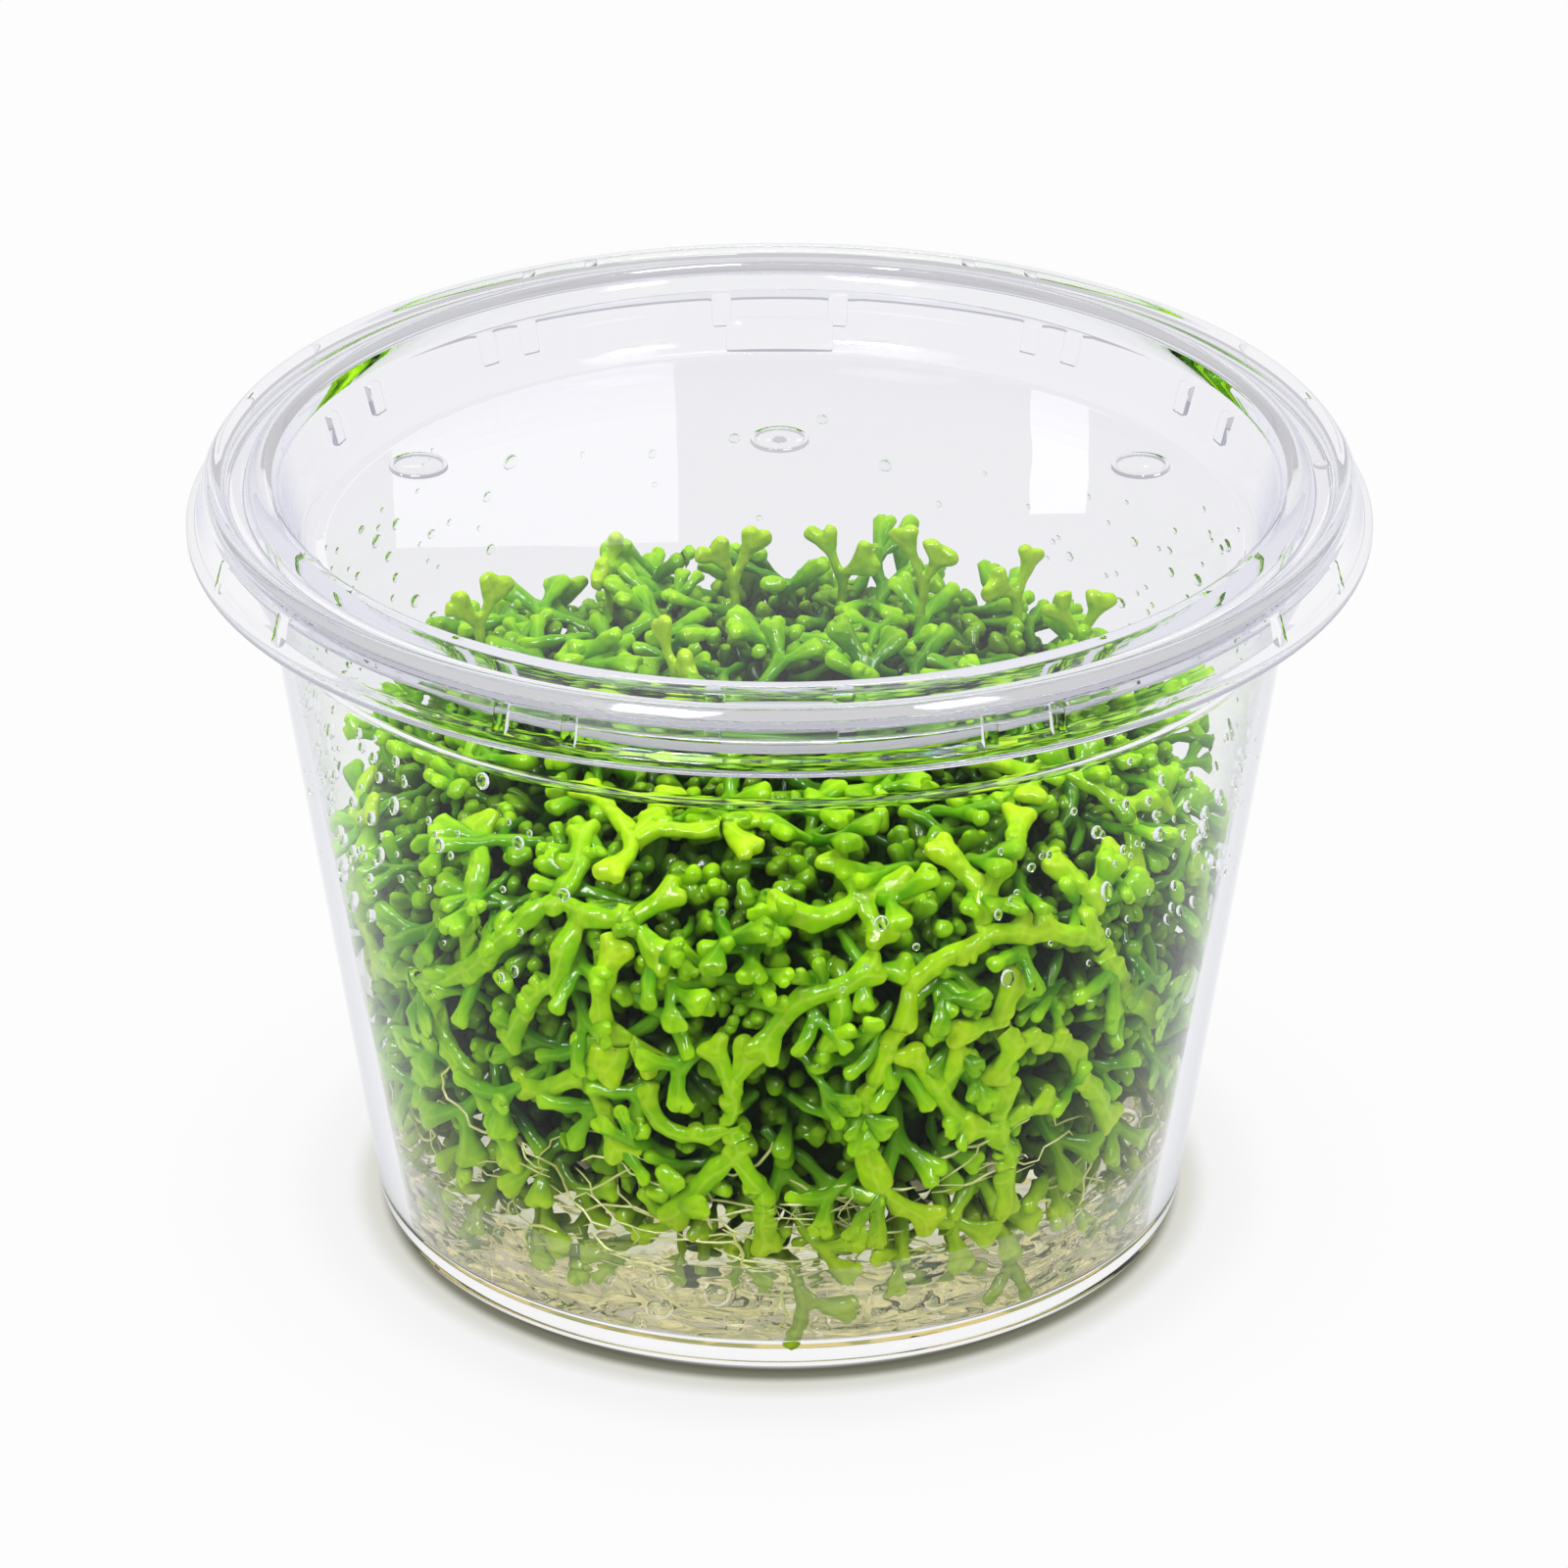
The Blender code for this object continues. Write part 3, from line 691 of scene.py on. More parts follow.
# The plants: small ones of a few kinds for each habit, copied with their roots in the heart and their
# tips at the outline. Depths are in millimetres from the outline, and a higher chance is a brighter plant.
UPRIGHT_SPACING = 2.5 * MM  # between neighbours over the mound
TRAILING_SPACING = 4.5 * MM
SWELL_WIDTH = 9.0 * MM  # of the mound's own hills and hollows
TOP_CLIMB = 40.0 * MM  # past this the plants stand up and carry rounder heads
LOW_CLIMB = 14.0 * MM
HILL_HEIGHT = 1.1 * MM
TOP_GAPS = 0.36  # the share of places on top that stay empty
TOP_ROOTS, SIDE_ROOTS = (-11.0, -8.4), (-8.2, -6.3)
TOP_RISE, SIDE_RISE = 0.5, 0.12  # how far plants lean towards the light
TOP_CHANCE = 0.4
UPRIGHT_SIZE, TRAILING_SIZE = (0.8, 1.12), (0.7, 1.05)
TRAILING_ROOTS = (-2.6, -0.7)

# For each habit: how many kinds, then the step, the thickness, the neck's share of it, the fork's angle
# and the steps in the stem and in each arm
HABITS = {
    "upright": (12, 1.2 * MM, 0.72 * MM, 0.64, 36, 3, 2),
    "tall": (6, 1.6 * MM, 0.66 * MM, 0.52, 36, 4, 1),
    "trailing": (10, 1.15 * MM, 0.74 * MM, 0.82, 34, 4, 3),
}
plants = {}
for habit, (kinds, *shape) in HABITS.items():
    grown = [fleshed(habit, grow_sprig(f"{habit} {kind}", *shape), 2, 0.88, 0.145) for kind in range(kinds)]
    plants[habit] = [as_arrays(roughened(obj), ("across", "tip")) for obj in grown]


def over_mound(spacing, rng):
    """Bearings and climbs spread evenly but irregularly over the mound."""
    climb = spacing / 2
    while climb < CLIMB_MOST:
        (radius, _), _ = along_profile(climb)
        around = max(1, round(2 * math.pi * radius / spacing))
        offset = rng.uniform(0, 360)
        for number in range(around):
            bearing = offset + 360 * (number + rng.uniform(-0.38, 0.38)) / around
            high = min(CLIMB_MOST - 0.1 * MM, climb + rng.uniform(-0.42, 0.42) * spacing)
            yield (bearing + 180) % 360 - 180, high
        climb += spacing * 0.87


def varied(plant, bend, chance):
    """A plant's arrays with its stem bent, and with a chance of its own for how bright it is."""
    points, faces, notes = plant
    points = points.copy()
    points[:, 1] += bend * points[:, 2] ** 2
    return points, faces, {**notes, "chance": np.full(len(points), chance)}


def piece_for(bearing, climb):
    """Which piece of the mass a plant belongs to: quarters round the side, in two storeys, and the top."""
    if climb > TOP_CLIMB:
        return "top"
    quarter = ("front" if abs(bearing) < 90 else "back") + ("_left" if bearing < 0 else "_right")
    return ("low_" if climb < LOW_CLIMB else "high_") + quarter


rng = random.Random(5)
pieces = {}
for bearing, climb in over_mound(UPRIGHT_SPACING, rng):
    on_top = climb > TOP_CLIMB
    if on_top and rng.random() < TOP_GAPS:
        continue
    size = rng.uniform(*UPRIGHT_SIZE)
    swell = HILL_HEIGHT * noise.noise(on_mound(bearing, climb, 0.0)[0] / SWELL_WIDTH)
    sunk = rng.uniform(*(TOP_ROOTS if on_top else SIDE_ROOTS))
    root, outwards = on_mound(bearing, climb, swell + sunk * MM * size)
    wander = Vector([rng.gauss(0, 0.42) for _ in range(3)])
    heading = (outwards + wander + Vector((0, 0, TOP_RISE if on_top else SIDE_RISE))).normalized()
    matrix = standing(root, heading, rng.uniform(0, 2 * math.pi), size)
    kind = rng.choice(plants["tall" if on_top else "upright"])
    plant = varied(kind, rng.uniform(-40, 40), rng.random() + (TOP_CHANCE if on_top else 0.0))
    pieces.setdefault(piece_for(bearing, climb), []).append((plant, matrix))

for bearing, climb in over_mound(TRAILING_SPACING, rng):
    root, outwards = on_mound(bearing, climb, rng.uniform(*TRAILING_ROOTS) * MM)
    level = Vector((math.cos(math.radians(bearing)), math.sin(math.radians(bearing)), 0))
    uphill = outwards.cross(level)
    angle = rng.gauss(-math.pi / 2, 1.1) if climb < TOP_CLIMB else rng.uniform(0, 2 * math.pi)
    heading = level * math.cos(angle) + uphill * math.sin(angle) + outwards * rng.uniform(-0.05, 0.3)
    heading.normalize()
    side = heading.cross(outwards).normalized()
    turn = Matrix((side, side.cross(heading) * -1, heading)).transposed().to_4x4()
    matrix = Matrix.Translation(root) @ turn @ Matrix.Scale(rng.uniform(*TRAILING_SIZE), 4)
    plant = varied(rng.choice(plants["trailing"]), rng.uniform(-18, 6), rng.uniform(0.0, 1.35))
    pieces.setdefault(piece_for(bearing, climb), []).append((plant, matrix))

packed_green = thallus_material("living thallus, packed", "#A4E008", ("#347C00", "#5CA600"), 0.12)
for where, copies in pieces.items():
    mass = placed_copies("crystalwort_" + where, copies)
    points = kept_in_cup(points_of(mass.data))
    move_points(mass.data, points)
    store(mass.data, "depth", depth_below(points))
    mass.data.materials.append(packed_green)
    settle(mass, "crystalwort_mound")


# The long thalli
# Longer plants that lie on the outside of the mound, pressed against the wall. Each is one plant, thick,
# wet and brighter than the rest, with scalloped edges and blunt notched tips.

STRAND_LIFT = 1.2 * MM
STRAND_RADIUS = 1.06 * MM  # before the rounding, which takes about a quarter off
STRAND_STEP = 1.05 * MM

# Runs of bearing,climb in millimetres from the mound's foot, parted by strokes. Runs that share a point
# fork there.
STRANDS = {
    "strand_left_long": (
        "-67,18 -54,21 -44,24 -39,27 -33,31 -28,31 -21,31 -17,33 / -54,21 -52,17 -47,14 -43,11 -41,7 / "
        "-33,31 -32,34 -34,37 / -21,31 -16,29 / -44,24 -46,28 -47,32 -52,34 / -28,31 -30,26 -35,22 -38,19"
    ),
    "strand_upper_left": (
        "-41,42 -34,41 -26,38 -25,35 / -26,38 -24,41 -26,45 / -26,38 -19,40 -10,41 -6,43 / -10,41 -6,39"
    ),
    "strand_left_drop": "-22,28 -24,25 -21,22 -23,19 / -21,22 -17,20",
    "strand_lower_left": "-36,14 -32,15 -27,17 -24,14 -22,11 / -27,17 -24,19",
    "strand_front_foot": (
        "-8,21 -6,18 -6,14 -6,11 -11,8 -14,5 / -6,18 -4,21 / -6,11 -3,8 -2,3 / -6,14 -11,13 -15,13 -18,16"
    ),
    "strand_big_arch": (
        "34,29 28,29 22,28 18,27 15,23 13,19 11,15 12,11 14,7 20,4 / 28,29 30,32 27,36 / 30,32 35,34 42,37"
    ),
    "strand_right_middle": "31,25 29,22 31,20 30,17 / 29,22 24,22 / 31,20 36,19 42,17 46,13 51,8",
    "strand_right_long": "39,28 45,26 50,22 54,19 59,16 / 45,26 47,29 54,31 / 47,29 44,32",
    "strand_upper_right": "50,39 57,41 61,38 63,34 72,32 / 57,41 56,45 / 63,34 59,30",
    "strand_middle_crown": "10,37 12,34 13,31 / 1,33 6,32 12,34 / 12,34 17,34",
    "strand_middle_star": "-2,23 3,26 8,27 / 8,27 7,23 / 8,27 12,28",
    "strand_lower_right": "31,14 31,11 33,8 33,4 / 31,11 27,12 / 31,11 37,12",
    "strand_front_short": "18,20 21,17 25,13 / 21,17 24,19",
    "strand_far_right": "75,25 80,21 79,15 84,11 / 80,21 87,23 / 79,15 73,13",
    "strand_far_left": "-77,29 -83,25 -80,19 -83,13 / -83,25 -90,28 / -80,19 -75,16",
    "strand_back_right": "112,30 120,26 126,21 123,15 / 120,26 112,22 / 126,21 134,19 139,14",
    "strand_back_middle": "158,32 167,29 177,28 186,31 / 167,29 169,23 165,17 / 177,28 182,22 189,19",
    "strand_back_left": "214,33 221,28 230,26 237,29 / 221,28 218,21 223,15 / 230,26 236,21",
    "strand_back_low": "143,20 149,16 147,10 / 149,16 156,13",
}


def smooth_run(points):
    """Points about a step apart on a smooth curve through a run's points, which it keeps exactly."""
    padded = [points[0], *points, points[-1]]
    made = [points[0]]
    for before, here, there, after in zip(padded, padded[1:], padded[2:], padded[3:]):
        span = on_mound(here[0], here[1] * MM, 0)[0] - on_mound(there[0], there[1] * MM, 0)[0]
        pieces = max(1, round(span.length / STRAND_STEP))
        for step in range(1, pieces + 1):
            t = step / pieces
            weights = (
                (-t + 2 * t**2 - t**3) / 2, (2 - 5 * t**2 + 3 * t**3) / 2, (t + 4 * t**2 - 3 * t**3) / 2,
                (t**3 - t**2) / 2,
            )
            four = (before, here, there, after)
            made.append(tuple(sum(w * p[axis] for w, p in zip(weights, four)) for axis in (0, 1)))
        made[-1] = there
    return made


def add_lobes(sketch, end, heading, radius, rng):
    """The blunt end of a thallus: two short round lobes with a notch between them."""
    place, normal = sketch.places[end], sketch.normals[end]
    for side in (-1, 1):
        lobe = Matrix.Rotation(side * math.radians(rng.uniform(28, 50)), 3, normal) @ heading
        lobe = (lobe + normal * rng.uniform(-0.15, 0.2)).normalized()
        swell = radius * rng.uniform(1.1, 1.6)
        steps = [(place + lobe * swell, normal, radius * rng.uniform(0.8, 1.0), 0.9)]
        steps.append((place + lobe * (swell + radius * 0.6), normal, radius * rng.uniform(0.55, 0.7), 1.0))
        sketch.run(end, steps)


def strand_sketch(runs, seed):
    """A long thallus over the mound, uneven in width and height, with small buds along its sides."""
    rng = random.Random(seed)
    known, sketch = {}, None
    wave = Vector((seed * 3.1, seed * 1.7, 0))

    def place_at(point):
        place, outwards = on_mound(point[0], point[1] * MM, STRAND_LIFT)
        return place + noise.noise_vector(place / (3.0 * MM) + wave) * (0.6 * MM), outwards

    ends = [point for run in runs for point in (run[0], run[-1])]
    inner = {point for run in runs for point in run[1:-1]}
    free = {point for point in ends if ends.count(point) == 1 and point not in inner}
    for run in runs:
        if run[0] not in known and run[-1] in known:
            run = run[::-1]
        points = smooth_run(run)
        if sketch is None:
            sketch = Sketch(*place_at(points[0]), STRAND_RADIUS, 0.6)
            known[run[0]] = 0
        steps = []
        for number, point in enumerate(points[1:]):
            swell = rng.uniform(1.05, 1.32) if number % 2 else rng.uniform(0.68, 0.85)
            steps.append((*place_at(point), STRAND_RADIUS * swell, 0.3))
        first = len(sketch.places)
        last = sketch.run(known[run[0]], steps)
        for number, point in zip(range(first, last + 1), points[1:]):
            known.setdefault(point, number)
        for number in range(first + 1, last - 1):
            if rng.random() < 0.45:
                along = (sketch.places[number + 1] - sketch.places[number]).normalized()
                normal = sketch.normals[number]
                side = along.cross(normal) * rng.choice((-1, 1)) + along * rng.uniform(-0.2, 0.7)
                bud = sketch.places[number] + side.normalized() * STRAND_RADIUS * rng.uniform(0.9, 1.7)
                sketch.run(number, [(bud, normal, STRAND_RADIUS * rng.uniform(0.55, 0.8), 0.8)])
        for point, end, before in ((run[-1], last, last - 1), (run[0], known[run[0]], first)):
            if point in free:
                heading = (sketch.places[end] - sketch.places[before]).normalized()
                add_lobes(sketch, end, heading, STRAND_RADIUS, rng)
                sketch.tips[end] = 0.7
    return sketch


def finish_thallus(obj, node, chance):
    """Roughens a long thallus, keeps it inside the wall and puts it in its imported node's place."""
    points = kept_in_cup(points_of(roughened(obj).data))
    move_points(obj.data, points)
    obj.data.shade_smooth()
    store(obj.data, "chance", np.full(len(points), chance))
    store(obj.data, "depth", np.zeros(len(points)))
    obj.data.materials.append(strand_green)
    settle(obj, node)


strand_green = thallus_material("living thallus, long", "#CCF416", ("#88D406", "#ACE80C"), 0.28)
rng = random.Random(21)
for seed, (node, drawn) in enumerate(STRANDS.items()):
    runs = [[tuple(map(int, point.split(","))) for point in run.split()] for run in drawn.split("/")]
    name = node.replace("strand", "thallus")
    finish_thallus(fleshed(name, strand_sketch(runs, seed), 2, 0.8), node, rng.random())


# The upright shoots
# Young plants that stand free on the mound's top under the lid: thin necks with swollen, forked heads.

# Upright shoots: x, y and the height of the tip in millimetres, and the turn of the fork in degrees
TIPS = {
    "tip_left": (-26.0, 14.0, 50.0, 20),
    "tip_left_back": (-15.0, 24.0, 49.0, 75),
    "tip_middle_left": (-4.0, 21.0, 51.5, 10),
    "tip_middle_right": (5.5, 22.0, 51.0, 150),
    "tip_tall_right": (12.5, 17.0, 53.5, 160),
    "tip_right_back": (20.5, 19.0, 50.5, 40),
    "tip_right": (26.0, 11.0, 50.5, 0),
    "tip_centre": (-9.0, 2.0, 51.0, 120),
}

SHOOT_RADIUS = 0.66 * MM
HEAD_RADIUS = 1.05 * MM


def shoot_sketch(x, y, top, turn, seed):
    """A shoot whose neck forks once, each arm with a swollen head of two lobes."""
    rng = random.Random(seed)
    radius = math.hypot(x, y) * MM
    foot = min((abs(r - radius), h) for r, h in PROFILE if h > MOUND_SHOULDER[1])[1] - 5.0 * MM
    lean = Vector((math.cos(math.radians(turn)), math.sin(math.radians(turn)), 0.0))
    facing = Vector((-lean.y, lean.x, 0.0))
    base = Vector((x * MM, y * MM, foot))
    rise = top * MM - 1.0 * MM - foot
    sketch = Sketch(base, facing, SHOOT_RADIUS * 0.8)
    neck = ((0.18, 0.1, 0.85), (0.36, 0.25, 0.7), (0.53, 0.2, 0.65), (0.68, 0.0, 0.85))
    steps = [
        (base + Vector((0, 0, rise * up)) + lean * (sway * MM), facing, SHOOT_RADIUS * width, up * 0.7)
        for up, sway, width in neck
    ]
    fork = sketch.run(0, steps)
    for side, reach in ((-1, rng.uniform(0.8, 0.88)), (1, 0.96)):
        out = sketch.places[fork]
        arm = Vector((0, 0, rise * (reach - 0.68))) + lean * (side * rng.uniform(1.2, 1.7) * MM)
        steps = [(out + arm * 0.5, facing, SHOOT_RADIUS * rng.uniform(0.7, 0.85), 0.8)]
        steps.append((out + arm, facing, SHOOT_RADIUS * rng.uniform(1.0, 1.15), 0.9))
        add_lobes(sketch, sketch.run(fork, steps), arm.normalized(), HEAD_RADIUS, rng)
    return sketch


for seed, (node, values) in enumerate(TIPS.items()):
    name = node.replace("tip", "shoot")
    finish_thallus(fleshed(name, shoot_sketch(*values, 50 + seed), 2, 0.85), node, rng.uniform(0.2, 0.8))


# The foot of the mound
# Where the oldest plants meet the gel, fine cream threads run along the foot and down into the gel, and
# yellow-green fragments hang in it. They are left loose in the gel as it was cast.

THREAD_COUNT = 170
FRAGMENT_SIZE = (0.55, 0.85)
THREAD_RADIUS = (0.07 * MM, 0.16 * MM)
THREAD_STEP = 1.3 * MM
BLEACHED_WIDTH = 25 / 3 * MM
FRAGMENT_BEARINGS = (-47, -38, -22, -14, -9, -2, 5, 24, 34, 41, 57)  # those that show at the front
rng = random.Random(8)
drawing = bpy.data.curves.new("foot_threads", "CURVE")
drawing.dimensions = "3D"
drawing.bevel_depth = 1.0
drawing.bevel_resolution = 0
drawing.resolution_u = 1
for _ in range(THREAD_COUNT):
    bearing, climb = rng.uniform(-180, 180), rng.uniform(-1.5, 9.0) * MM
    lift, thickness = rng.uniform(0.3, 1.3) * MM, rng.uniform(*THREAD_RADIUS)
    heading = rng.choice((0.0, math.pi)) + rng.uniform(-0.7, 0.5)
    places = []
    for _ in range(rng.randint(6, 15)):
        place, _ = on_mound(bearing, climb, lift)
        place.z = max(place.z, FLOOR_TOP + 1.2 * MM)
        places.append(place)
        heading += rng.gauss(0, 0.5)
        bearing += math.degrees(THREAD_STEP * math.cos(heading) / MOUND_FOOT[0])
        climb += THREAD_STEP * math.sin(heading) * 0.7 - 0.12 * MM
        lift = min(max(lift + rng.gauss(0, 0.25) * MM, 0.1 * MM), 1.6 * MM)
    spline = drawing.splines.new("POLY")
    spline.points.add(len(places) - 1)
    for number, (point, place) in enumerate(zip(spline.points, kept_in_cup(np.array(places)))):
        point.co = (*place, 1.0)
        point.radius = thickness * (0.35 if number in (0, len(places) - 1) else rng.uniform(0.75, 1.1))
threads = linked("foot_threads", drawing)
bpy.context.view_layer.objects.active = threads
threads.select_set(True)
bpy.ops.object.convert(target="MESH")
bpy.ops.object.select_all(action="DESELECT")
threads = bpy.context.view_layer.objects.active
threads.data.shade_smooth()

# Bleached old growth: cream, dull and a little see-through, as it holds water but no green.
bleached, tree, place = new_material("bleached plant thread")
tints = add_node(tree, "TexNoise", {"Vector": place, "Scale": 1 / BLEACHED_WIDTH})
tone = add_node(tree, "Mix", {0: tints, 6: linear("#EFEFA8"), 7: linear("#B4C03C")}, data_type="RGBA")
strand = add_node(
    tree, "BsdfPrincipled", {"Base Color": tone.outputs[2], "Roughness": 0.4, "Specular IOR Level": 0.2}
)
add_node(tree, "OutputMaterial", {"Surface": strand})
threads.data.materials.clear()
threads.data.materials.append(bleached)
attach(threads, "root")

copies = []
around = [bearing + rng.uniform(-2, 2) for bearing in FRAGMENT_BEARINGS]
around += [rng.uniform(70, 290) for _ in range(22)]
for bearing in around:
    root, outwards = on_mound(bearing, rng.uniform(1.0, 3.0) * MM, rng.uniform(-1.5, 0.3) * MM)
    heading = Vector((rng.gauss(0, 0.35), rng.gauss(0, 0.35), -1.0)) + outwards * rng.uniform(0.0, 0.35)
    matrix = standing(root, heading, rng.uniform(0, 2 * math.pi), rng.uniform(*FRAGMENT_SIZE))
    kind = rng.choice(plants["upright"] + plants["trailing"])
    copies.append((varied(kind, rng.uniform(-60, 60), rng.random()), matrix))
fragments = placed_copies("foot_fragments", copies)
points = kept_in_cup(points_of(fragments.data))
points[:, 2] = np.maximum(points[:, 2], FLOOR_TOP + 0.5 * MM)
move_points(fragments.data, points)
store(fragments.data, "depth", np.zeros(len(points)))
fragments.data.materials.append(packed_green)
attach(fragments, "root")


# The lid
# A snap lid moulded in one piece of the same clear plastic: a sunk panel, a recess wall with lugs that keep
# stacked lids from jamming, an inner ridge, a channel, an outer ridge, and a skirt with ribs and a hem.

LID_TOP = 68.0 * MM
LID_WALL = 0.8 * MM
LID_RADIUS = 50.0 * MM
HEM_BOTTOM = 62.7 * MM
PANEL_TOP = 61.0 * MM
PANEL_RADIUS = 39.4 * MM
RIB_WIDTH = 1.3 * MM
RIB_BEARINGS = (20.0, 27.0, 56.0, 69.5)
LUG_WIDTH = 1.7 * MM
LUG_BEARINGS = (7.2, 32.5, 38.5, 58.5, 68.5)
PAD_WIDTH = 9.4 * MM
PANEL_MARKS = ((-31.0 * MM, 14.5 * MM), (0.0, 20.0 * MM), (31.0 * MM, 14.5 * MM))
MARK_RADIUS = 2.6 * MM
MARK_STEPS = 56
PIN_PLACE = (45.7 * MM, 0.5 * MM)  # a small round mark in the channel, left by the pin that ejects the lid
PIN_RADIUS = 0.75 * MM

channel = LID_TOP - 0.6 * MM
lid = turned(
    "clear_lid",
    (
        (0.0, PANEL_TOP), (PANEL_RADIUS - 1.6 * MM, PANEL_TOP), (PANEL_RADIUS, PANEL_TOP),
        (PANEL_RADIUS + 0.9 * MM, PANEL_TOP + 0.7 * MM), (41.9 * MM, LID_TOP - 1.1 * MM),
        (42.9 * MM, LID_TOP), (43.9 * MM, LID_TOP), (44.6 * MM, channel), (46.8 * MM, channel),
        (47.3 * MM, LID_TOP - 0.1 * MM), (47.9 * MM, LID_TOP - 0.1 * MM), (48.6 * MM, LID_TOP - 1.0 * MM),
        (49.1 * MM, HEM_BOTTOM + 1.5 * MM), (LID_RADIUS, HEM_BOTTOM + 1.2 * MM), (LID_RADIUS, HEM_BOTTOM),
        (LID_RADIUS - 1.1 * MM, HEM_BOTTOM), (LID_RADIUS - 1.7 * MM, HEM_BOTTOM + 1.5 * MM),
        (47.8 * MM, channel - LID_WALL), (43.9 * MM, channel - LID_WALL), (42.9 * MM, channel - 0.3 * MM),
        (43.4 * MM, LID_TOP - 2.7 * MM), (41.9 * MM, LID_TOP - 4.0 * MM),
        (PANEL_RADIUS + 1.7 * MM, PANEL_TOP + 0.3 * MM), (PANEL_RADIUS + 0.8 * MM, PANEL_TOP - LID_WALL),
        (PANEL_RADIUS - 1.6 * MM, PANEL_TOP - LID_WALL), (0.0, PANEL_TOP - LID_WALL),
    ),
    0.3 * MM,
)


def all_round(bearings):
    """The bearings mirrored left to right and front to back."""
    for bearing in bearings:
        for placed in (bearing, -bearing, 180 - bearing, 180 + bearing):
            yield placed


def fuse(obj, other):
    """Joins another solid into this one, and removes it."""
    bpy.context.view_layer.objects.active = obj
    union = obj.modifiers.new("union", "BOOLEAN")
    union.operation = "UNION"
    union.object = other
    bpy.ops.object.modifier_apply(modifier="union")
    bpy.data.objects.remove(other)


def blocks(name, outline, width, bearings, rounding):
    """Blocks across the rim: an outline in (radius, height), drawn out along the rim and rounded."""
    made = []
    for bearing in bearings:
        obj = start_drawing(name, Vector((-width / 2, -outline[0][0], outline[0][1])))
        extrude_along([Vector((-width / 2, -radius, height)) for radius, height in outline])
        bpy.ops.mesh.select_all(action="SELECT")
        bpy.ops.mesh.edge_face_add()
        bpy.ops.mesh.extrude_region_move(TRANSFORM_OT_translate={"value": (width, 0, 0)})
        bpy.ops.mesh.select_all(action="SELECT")
        bpy.ops.mesh.normals_make_consistent(inside=False)
        bpy.ops.mesh.bevel(affect="EDGES", offset=rounding, segments=2)
        bpy.ops.object.mode_set(mode="OBJECT")
        obj.data.transform(Matrix.Rotation(math.radians(bearing), 4, "Z"))
        made.append(obj)
    return joined(made)


rib_outline = (
    (48.2 * MM, LID_TOP - 1.5 * MM), (49.0 * MM, LID_TOP - 1.5 * MM), (49.7 * MM, HEM_BOTTOM + 1.5 * MM),
    (49.7 * MM, HEM_BOTTOM + 0.9 * MM), (48.9 * MM, HEM_BOTTOM + 0.9 * MM),
)
lug_outline = (
    (41.3 * MM, PANEL_TOP + 2.1 * MM), (40.2 * MM, PANEL_TOP + 2.1 * MM), (40.9 * MM, PANEL_TOP + 4.8 * MM),
    (42.0 * MM, PANEL_TOP + 4.8 * MM),
)
pad_outline = (
    (40.6 * MM, PANEL_TOP + 0.2 * MM), (38.7 * MM, PANEL_TOP + 0.2 * MM), (39.4 * MM, PANEL_TOP + 2.8 * MM),
    (41.3 * MM, PANEL_TOP + 2.8 * MM),
)
fuse(lid, blocks("gusset_ribs", rib_outline, RIB_WIDTH, all_round(RIB_BEARINGS), 0.15 * MM))
fuse(lid, blocks("recess_lugs", lug_outline, LUG_WIDTH, all_round(LUG_BEARINGS), 0.2 * MM))
fuse(lid, blocks("recess_pads", pad_outline, PAD_WIDTH, (0, 180), 0.2 * MM))

# The round marks: a raised ring round a flat middle, and on the centre one the stub left by the gate
for x, y in PANEL_MARKS:
    middle = [(0.0, PANEL_TOP + 0.12 * MM), (MARK_RADIUS - 0.6 * MM, PANEL_TOP + 0.12 * MM)]
    if x == 0.0:
        stub = [(0.0, PANEL_TOP + 0.55 * MM), (0.3 * MM, PANEL_TOP + 0.5 * MM)]
        middle = [*stub, (0.7 * MM, PANEL_TOP + 0.12 * MM), middle[1]]
    ring = [
        (MARK_RADIUS - 0.4 * MM, PANEL_TOP + 0.35 * MM), (MARK_RADIUS - 0.1 * MM, PANEL_TOP + 0.35 * MM),
        (MARK_RADIUS, PANEL_TOP - 0.4 * MM), (0.0, PANEL_TOP - 0.4 * MM),
    ]
    mark = turned("panel_mark", middle + ring, 0.1 * MM, MARK_STEPS)
    mark.data.transform(Matrix.Translation((x, y, 0)))
    fuse(lid, mark)
pin_top, pin_bottom = channel + 0.2 * MM, channel - 0.3 * MM
pin_outline = ((0.0, pin_top), (PIN_RADIUS, pin_top), (PIN_RADIUS, pin_bottom), (0.0, pin_bottom))
pin = turned("pin_mark", pin_outline, 0.08 * MM, MARK_STEPS // 2)
pin.data.transform(Matrix.Translation((*PIN_PLACE, 0)))
fuse(lid, pin)
lid.select_set(True)
bpy.ops.object.shade_smooth_by_angle(angle=CREASE)
lid.select_set(False)

lid.data.materials.clear()
# the second colour is the painted violet-grey reflection at grazing views
lid.data.materials.append(
    plastic_material("clear polystyrene, crisp ridges", "#F8F8FB", "#A2A6C6", 1.23, "#A8A8BC")
)
let_light_in(lid)
settle(lid, "lid")


# The condensation
# Beads of water that have gathered on the inside of the wall above the plants, mostly at the sides. Most of
# them are under a millimetre across, and each is a flattened drop that clings to the plastic.

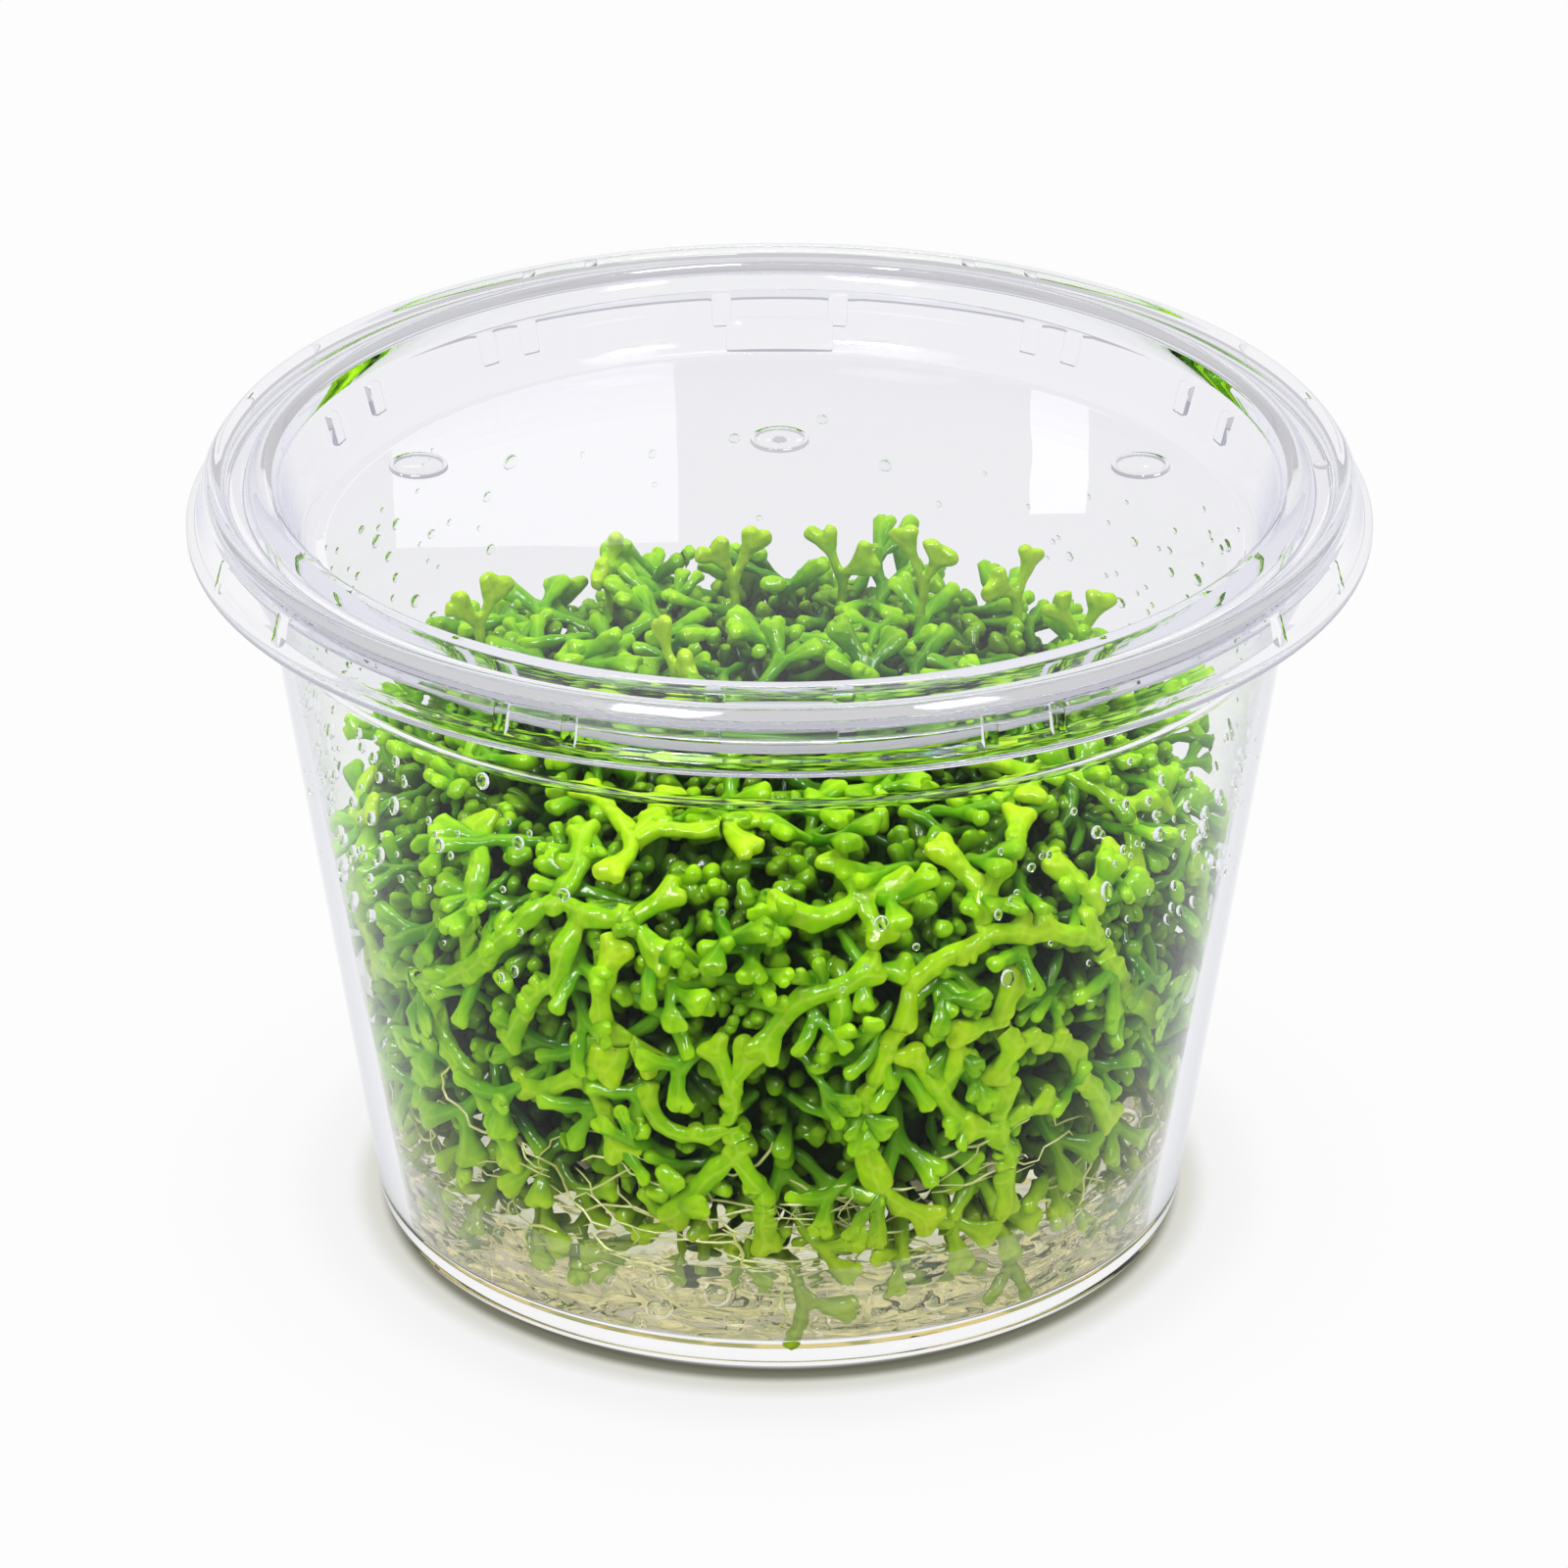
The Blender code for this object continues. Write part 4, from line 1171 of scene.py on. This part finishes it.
DROP_COUNT = 380
DROP_HEIGHTS = (34.0 * MM, 56.0 * MM)
DROP_RADIUS = (0.25 * MM, 0.75 * MM)
bpy.ops.mesh.primitive_ico_sphere_add(subdivisions=2, radius=1.0, location=(0, 0, 0))
bead = as_arrays(bpy.context.object)
rng = random.Random(33)
lean = Matrix.Rotation(-math.atan(CUP_TAPER), 4, "X")
copies = []
while len(copies) < DROP_COUNT:
    bearing = rng.uniform(-180, 180)
    if rng.random() > 0.05 + math.sin(math.radians(bearing)) ** 2:
        continue
    share = rng.betavariate(1.6, 1.6)
    height = DROP_HEIGHTS[0] + (DROP_HEIGHTS[1] - DROP_HEIGHTS[0]) * share
    size = DROP_RADIUS[0] + (DROP_RADIUS[1] - DROP_RADIUS[0]) * rng.random() ** 3
    place = Vector((0, -(cup_inside(height) - size * 0.42), height))
    shape = Matrix.Diagonal((size * rng.uniform(0.85, 1.1), size * 0.4, size * rng.uniform(0.9, 1.3), 1))
    turn = Matrix.Rotation(math.radians(bearing), 4, "Z")
    copies.append((bead, turn @ Matrix.Translation(place) @ lean @ shape))
condensation = placed_copies("condensation", copies)
water, tree, _ = new_material("still water")
wet = add_node(
    tree, "BsdfPrincipled",
    {"Base Color": linear("#FFFFFF"), "Roughness": 0.0, "IOR": 1.333, "Transmission Weight": 1.0},
)
finish_clear(tree, wet, "#FAFCFC")
condensation.data.materials.append(water)
let_light_in(condensation)
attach(condensation, "root")


# The floor, the lamps and the camera
# A white table lit from below, as for a product photograph, with a painted shadow round the cup, under soft
# boxes and small lamps. The world is dimmer towards the camera, so that the clear walls don't throw a white
# veil.

TABLE_REACH = 60.0 * MM  # past this the table has its full glow

# How brightly the table glows by the distance from the cup's middle, with a painted shadow: dark where the
# foot stands on it, and a little dimmer near the cup.
TABLE_GLOW_AND_PAINTED_SHADOW = (
    (CUP_BASE_RADIUS - 1.6 * MM, "#FBFBFB"), (CUP_BASE_RADIUS - 0.5 * MM, "#626254"),
    (CUP_BASE_RADIUS + 0.5 * MM, "#7A7A6A"), (CUP_BASE_RADIUS + 2.0 * MM, "#DADAD2"),
    (CUP_BASE_RADIUS + 5.0 * MM, "#F4F4F4"), (CUP_BASE_RADIUS + 12.0 * MM, "#FBFBFB"),
    (TABLE_REACH, "#FDFDFD"),
)
bpy.ops.mesh.primitive_circle_add(vertices=64, radius=2.5, fill_type="NGON", location=(0, 0, 0))
floor = bpy.context.object
floor.name = "floor"
table, tree, place = new_material("white acrylic table, lit from below")
# painted shadow: the ring is squeezed and shifted so it is narrower at the sides
SQUEEZE = (1.045, 1.0, 1.0)  # the dark ring is a little narrower at the sides
FORWARD = (0.0, 0.5 * MM, 0.0)
ringed = add_node(tree, "VectorMath", {0: place, 1: SQUEEZE, 2: FORWARD}, operation="MULTIPLY_ADD")
flat = add_node(tree, "VectorMath", {0: ringed}, operation="LENGTH")
outward = add_node(
    tree, "Math", {0: flat.outputs["Value"], 1: TABLE_REACH}, operation="DIVIDE", use_clamp=True
)
glow_with_painted_shadow = add_node(tree, "ValToRGB", {0: outward})
ramp = glow_with_painted_shadow.color_ramp
ramp.interpolation = "EASE"
for number, (reach, colour) in enumerate(TABLE_GLOW_AND_PAINTED_SHADOW):
    ring = ramp.elements[number] if number < 2 else ramp.elements.new(1.0)
    ring.position = reach / TABLE_REACH
    ring.color = linear(colour)
lit = add_node(tree, "Emission", {"Color": glow_with_painted_shadow, "Strength": 1.0})
add_node(tree, "OutputMaterial", {"Surface": lit})
table.cycles.emission_sampling = "NONE"
floor.data.materials.append(table)

world = bpy.data.worlds.new("studio")
bpy.context.scene.world = world
world.use_nodes = True
tree = world.node_tree
tree.nodes.clear()
sky = add_node(tree, "TexCoord")
parts = add_node(tree, "SeparateXYZ", {0: sky.outputs["Generated"]})
rising = add_node(
    tree, "MapRange",
    {"Value": parts.outputs["Z"], "From Min": 0.0, "From Max": 0.85, "To Min": 0.9, "To Max": 1.0},
    interpolation_type="SMOOTHSTEP",
)
behind = add_node(
    tree, "MapRange",
    {"Value": parts.outputs["Y"], "From Min": -0.75, "From Max": 0.15, "To Min": 0.6, "To Max": 1.0},
    interpolation_type="SMOOTHSTEP",
)
level = add_node(tree, "Math", {0: rising, 1: behind}, operation="MULTIPLY")
hue = add_node(tree, "Mix", {0: level, 6: linear("#B4B4D2"), 7: linear("#FFFFFF")}, data_type="RGBA")
strength = add_node(tree, "Math", {0: level, 1: 0.7}, operation="MULTIPLY")
glow = add_node(tree, "Background", {"Color": hue.outputs[2], "Strength": strength})
add_node(tree, "OutputWorld", {"Surface": glow})

# Each lamp's place and size in metres, its power in watts, the point it faces and whether it lights the
# scene. The others only show in wet and polished surfaces: two for the sparkle of the water film, and two
# behind the cup that stand in the lid's panel like windows.
CUP_MIDDLE = (0.0, 0.0, 0.035)
PANEL_MIDDLE = (0.0, 0.024, 0.061)
LAMPS = {
    "soft box front left": ((-0.4, -0.6, 0.75), (0.3, 0.3), 3.5, CUP_MIDDLE, True),
    "soft box front right": ((0.45, -0.5, 0.7), (0.22, 0.22), 1.9, CUP_MIDDLE, True),
    "soft box above": ((0.0, 0.25, 0.95), (0.4, 0.3), 6.4, CUP_MIDDLE, True),
    "sparkle left": ((-0.3, -0.6, 0.8), (0.26, 0.26), 120.0, CUP_MIDDLE, False),
    "sparkle right": ((0.4, -0.45, 0.75), (0.18, 0.18), 56.0, CUP_MIDDLE, False),
    "window left": ((-0.048, 0.937, 0.466), (0.055, 0.046), 0.0124, PANEL_MIDDLE, False),
    "window right": ((0.054, 0.942, 0.464), (0.011, 0.041), 0.0032, PANEL_MIDDLE, False),
}
for name, (place, size, power, target, lights_scene) in LAMPS.items():
    data = bpy.data.lights.new(name, "AREA")
    data.shape = "RECTANGLE"
    data.size, data.size_y = size
    data.energy = power
    lamp = linked(name, data)
    lamp.location = place
    lamp.rotation_euler = (Vector(target) - Vector(place)).to_track_quat("-Z", "Y").to_euler()
    lamp.visible_diffuse = lights_scene

PITCH = math.radians(26.1)
DISTANCE = 0.8
AIM = Vector((0.38 * MM, 0.0, 37.8 * MM))
lens = bpy.data.cameras.new("camera")
lens.lens = 214.67
lens.sensor_width = 36.0
lens.clip_start = 0.01
camera = linked("camera", lens)
camera.location = AIM + Vector((0.0, -math.cos(PITCH), math.sin(PITCH))) * DISTANCE
camera.rotation_euler = (math.pi / 2 - PITCH, 0.0, 0.0)
scene = bpy.context.scene
scene.camera = camera
scene.view_settings.view_transform = "Standard"
scene.cycles.transparent_max_bounces = 12
scene.cycles.max_bounces = 12
scene.cycles.diffuse_bounces = 2
scene.cycles.use_light_tree = False

bpy.context.view_layer.update()
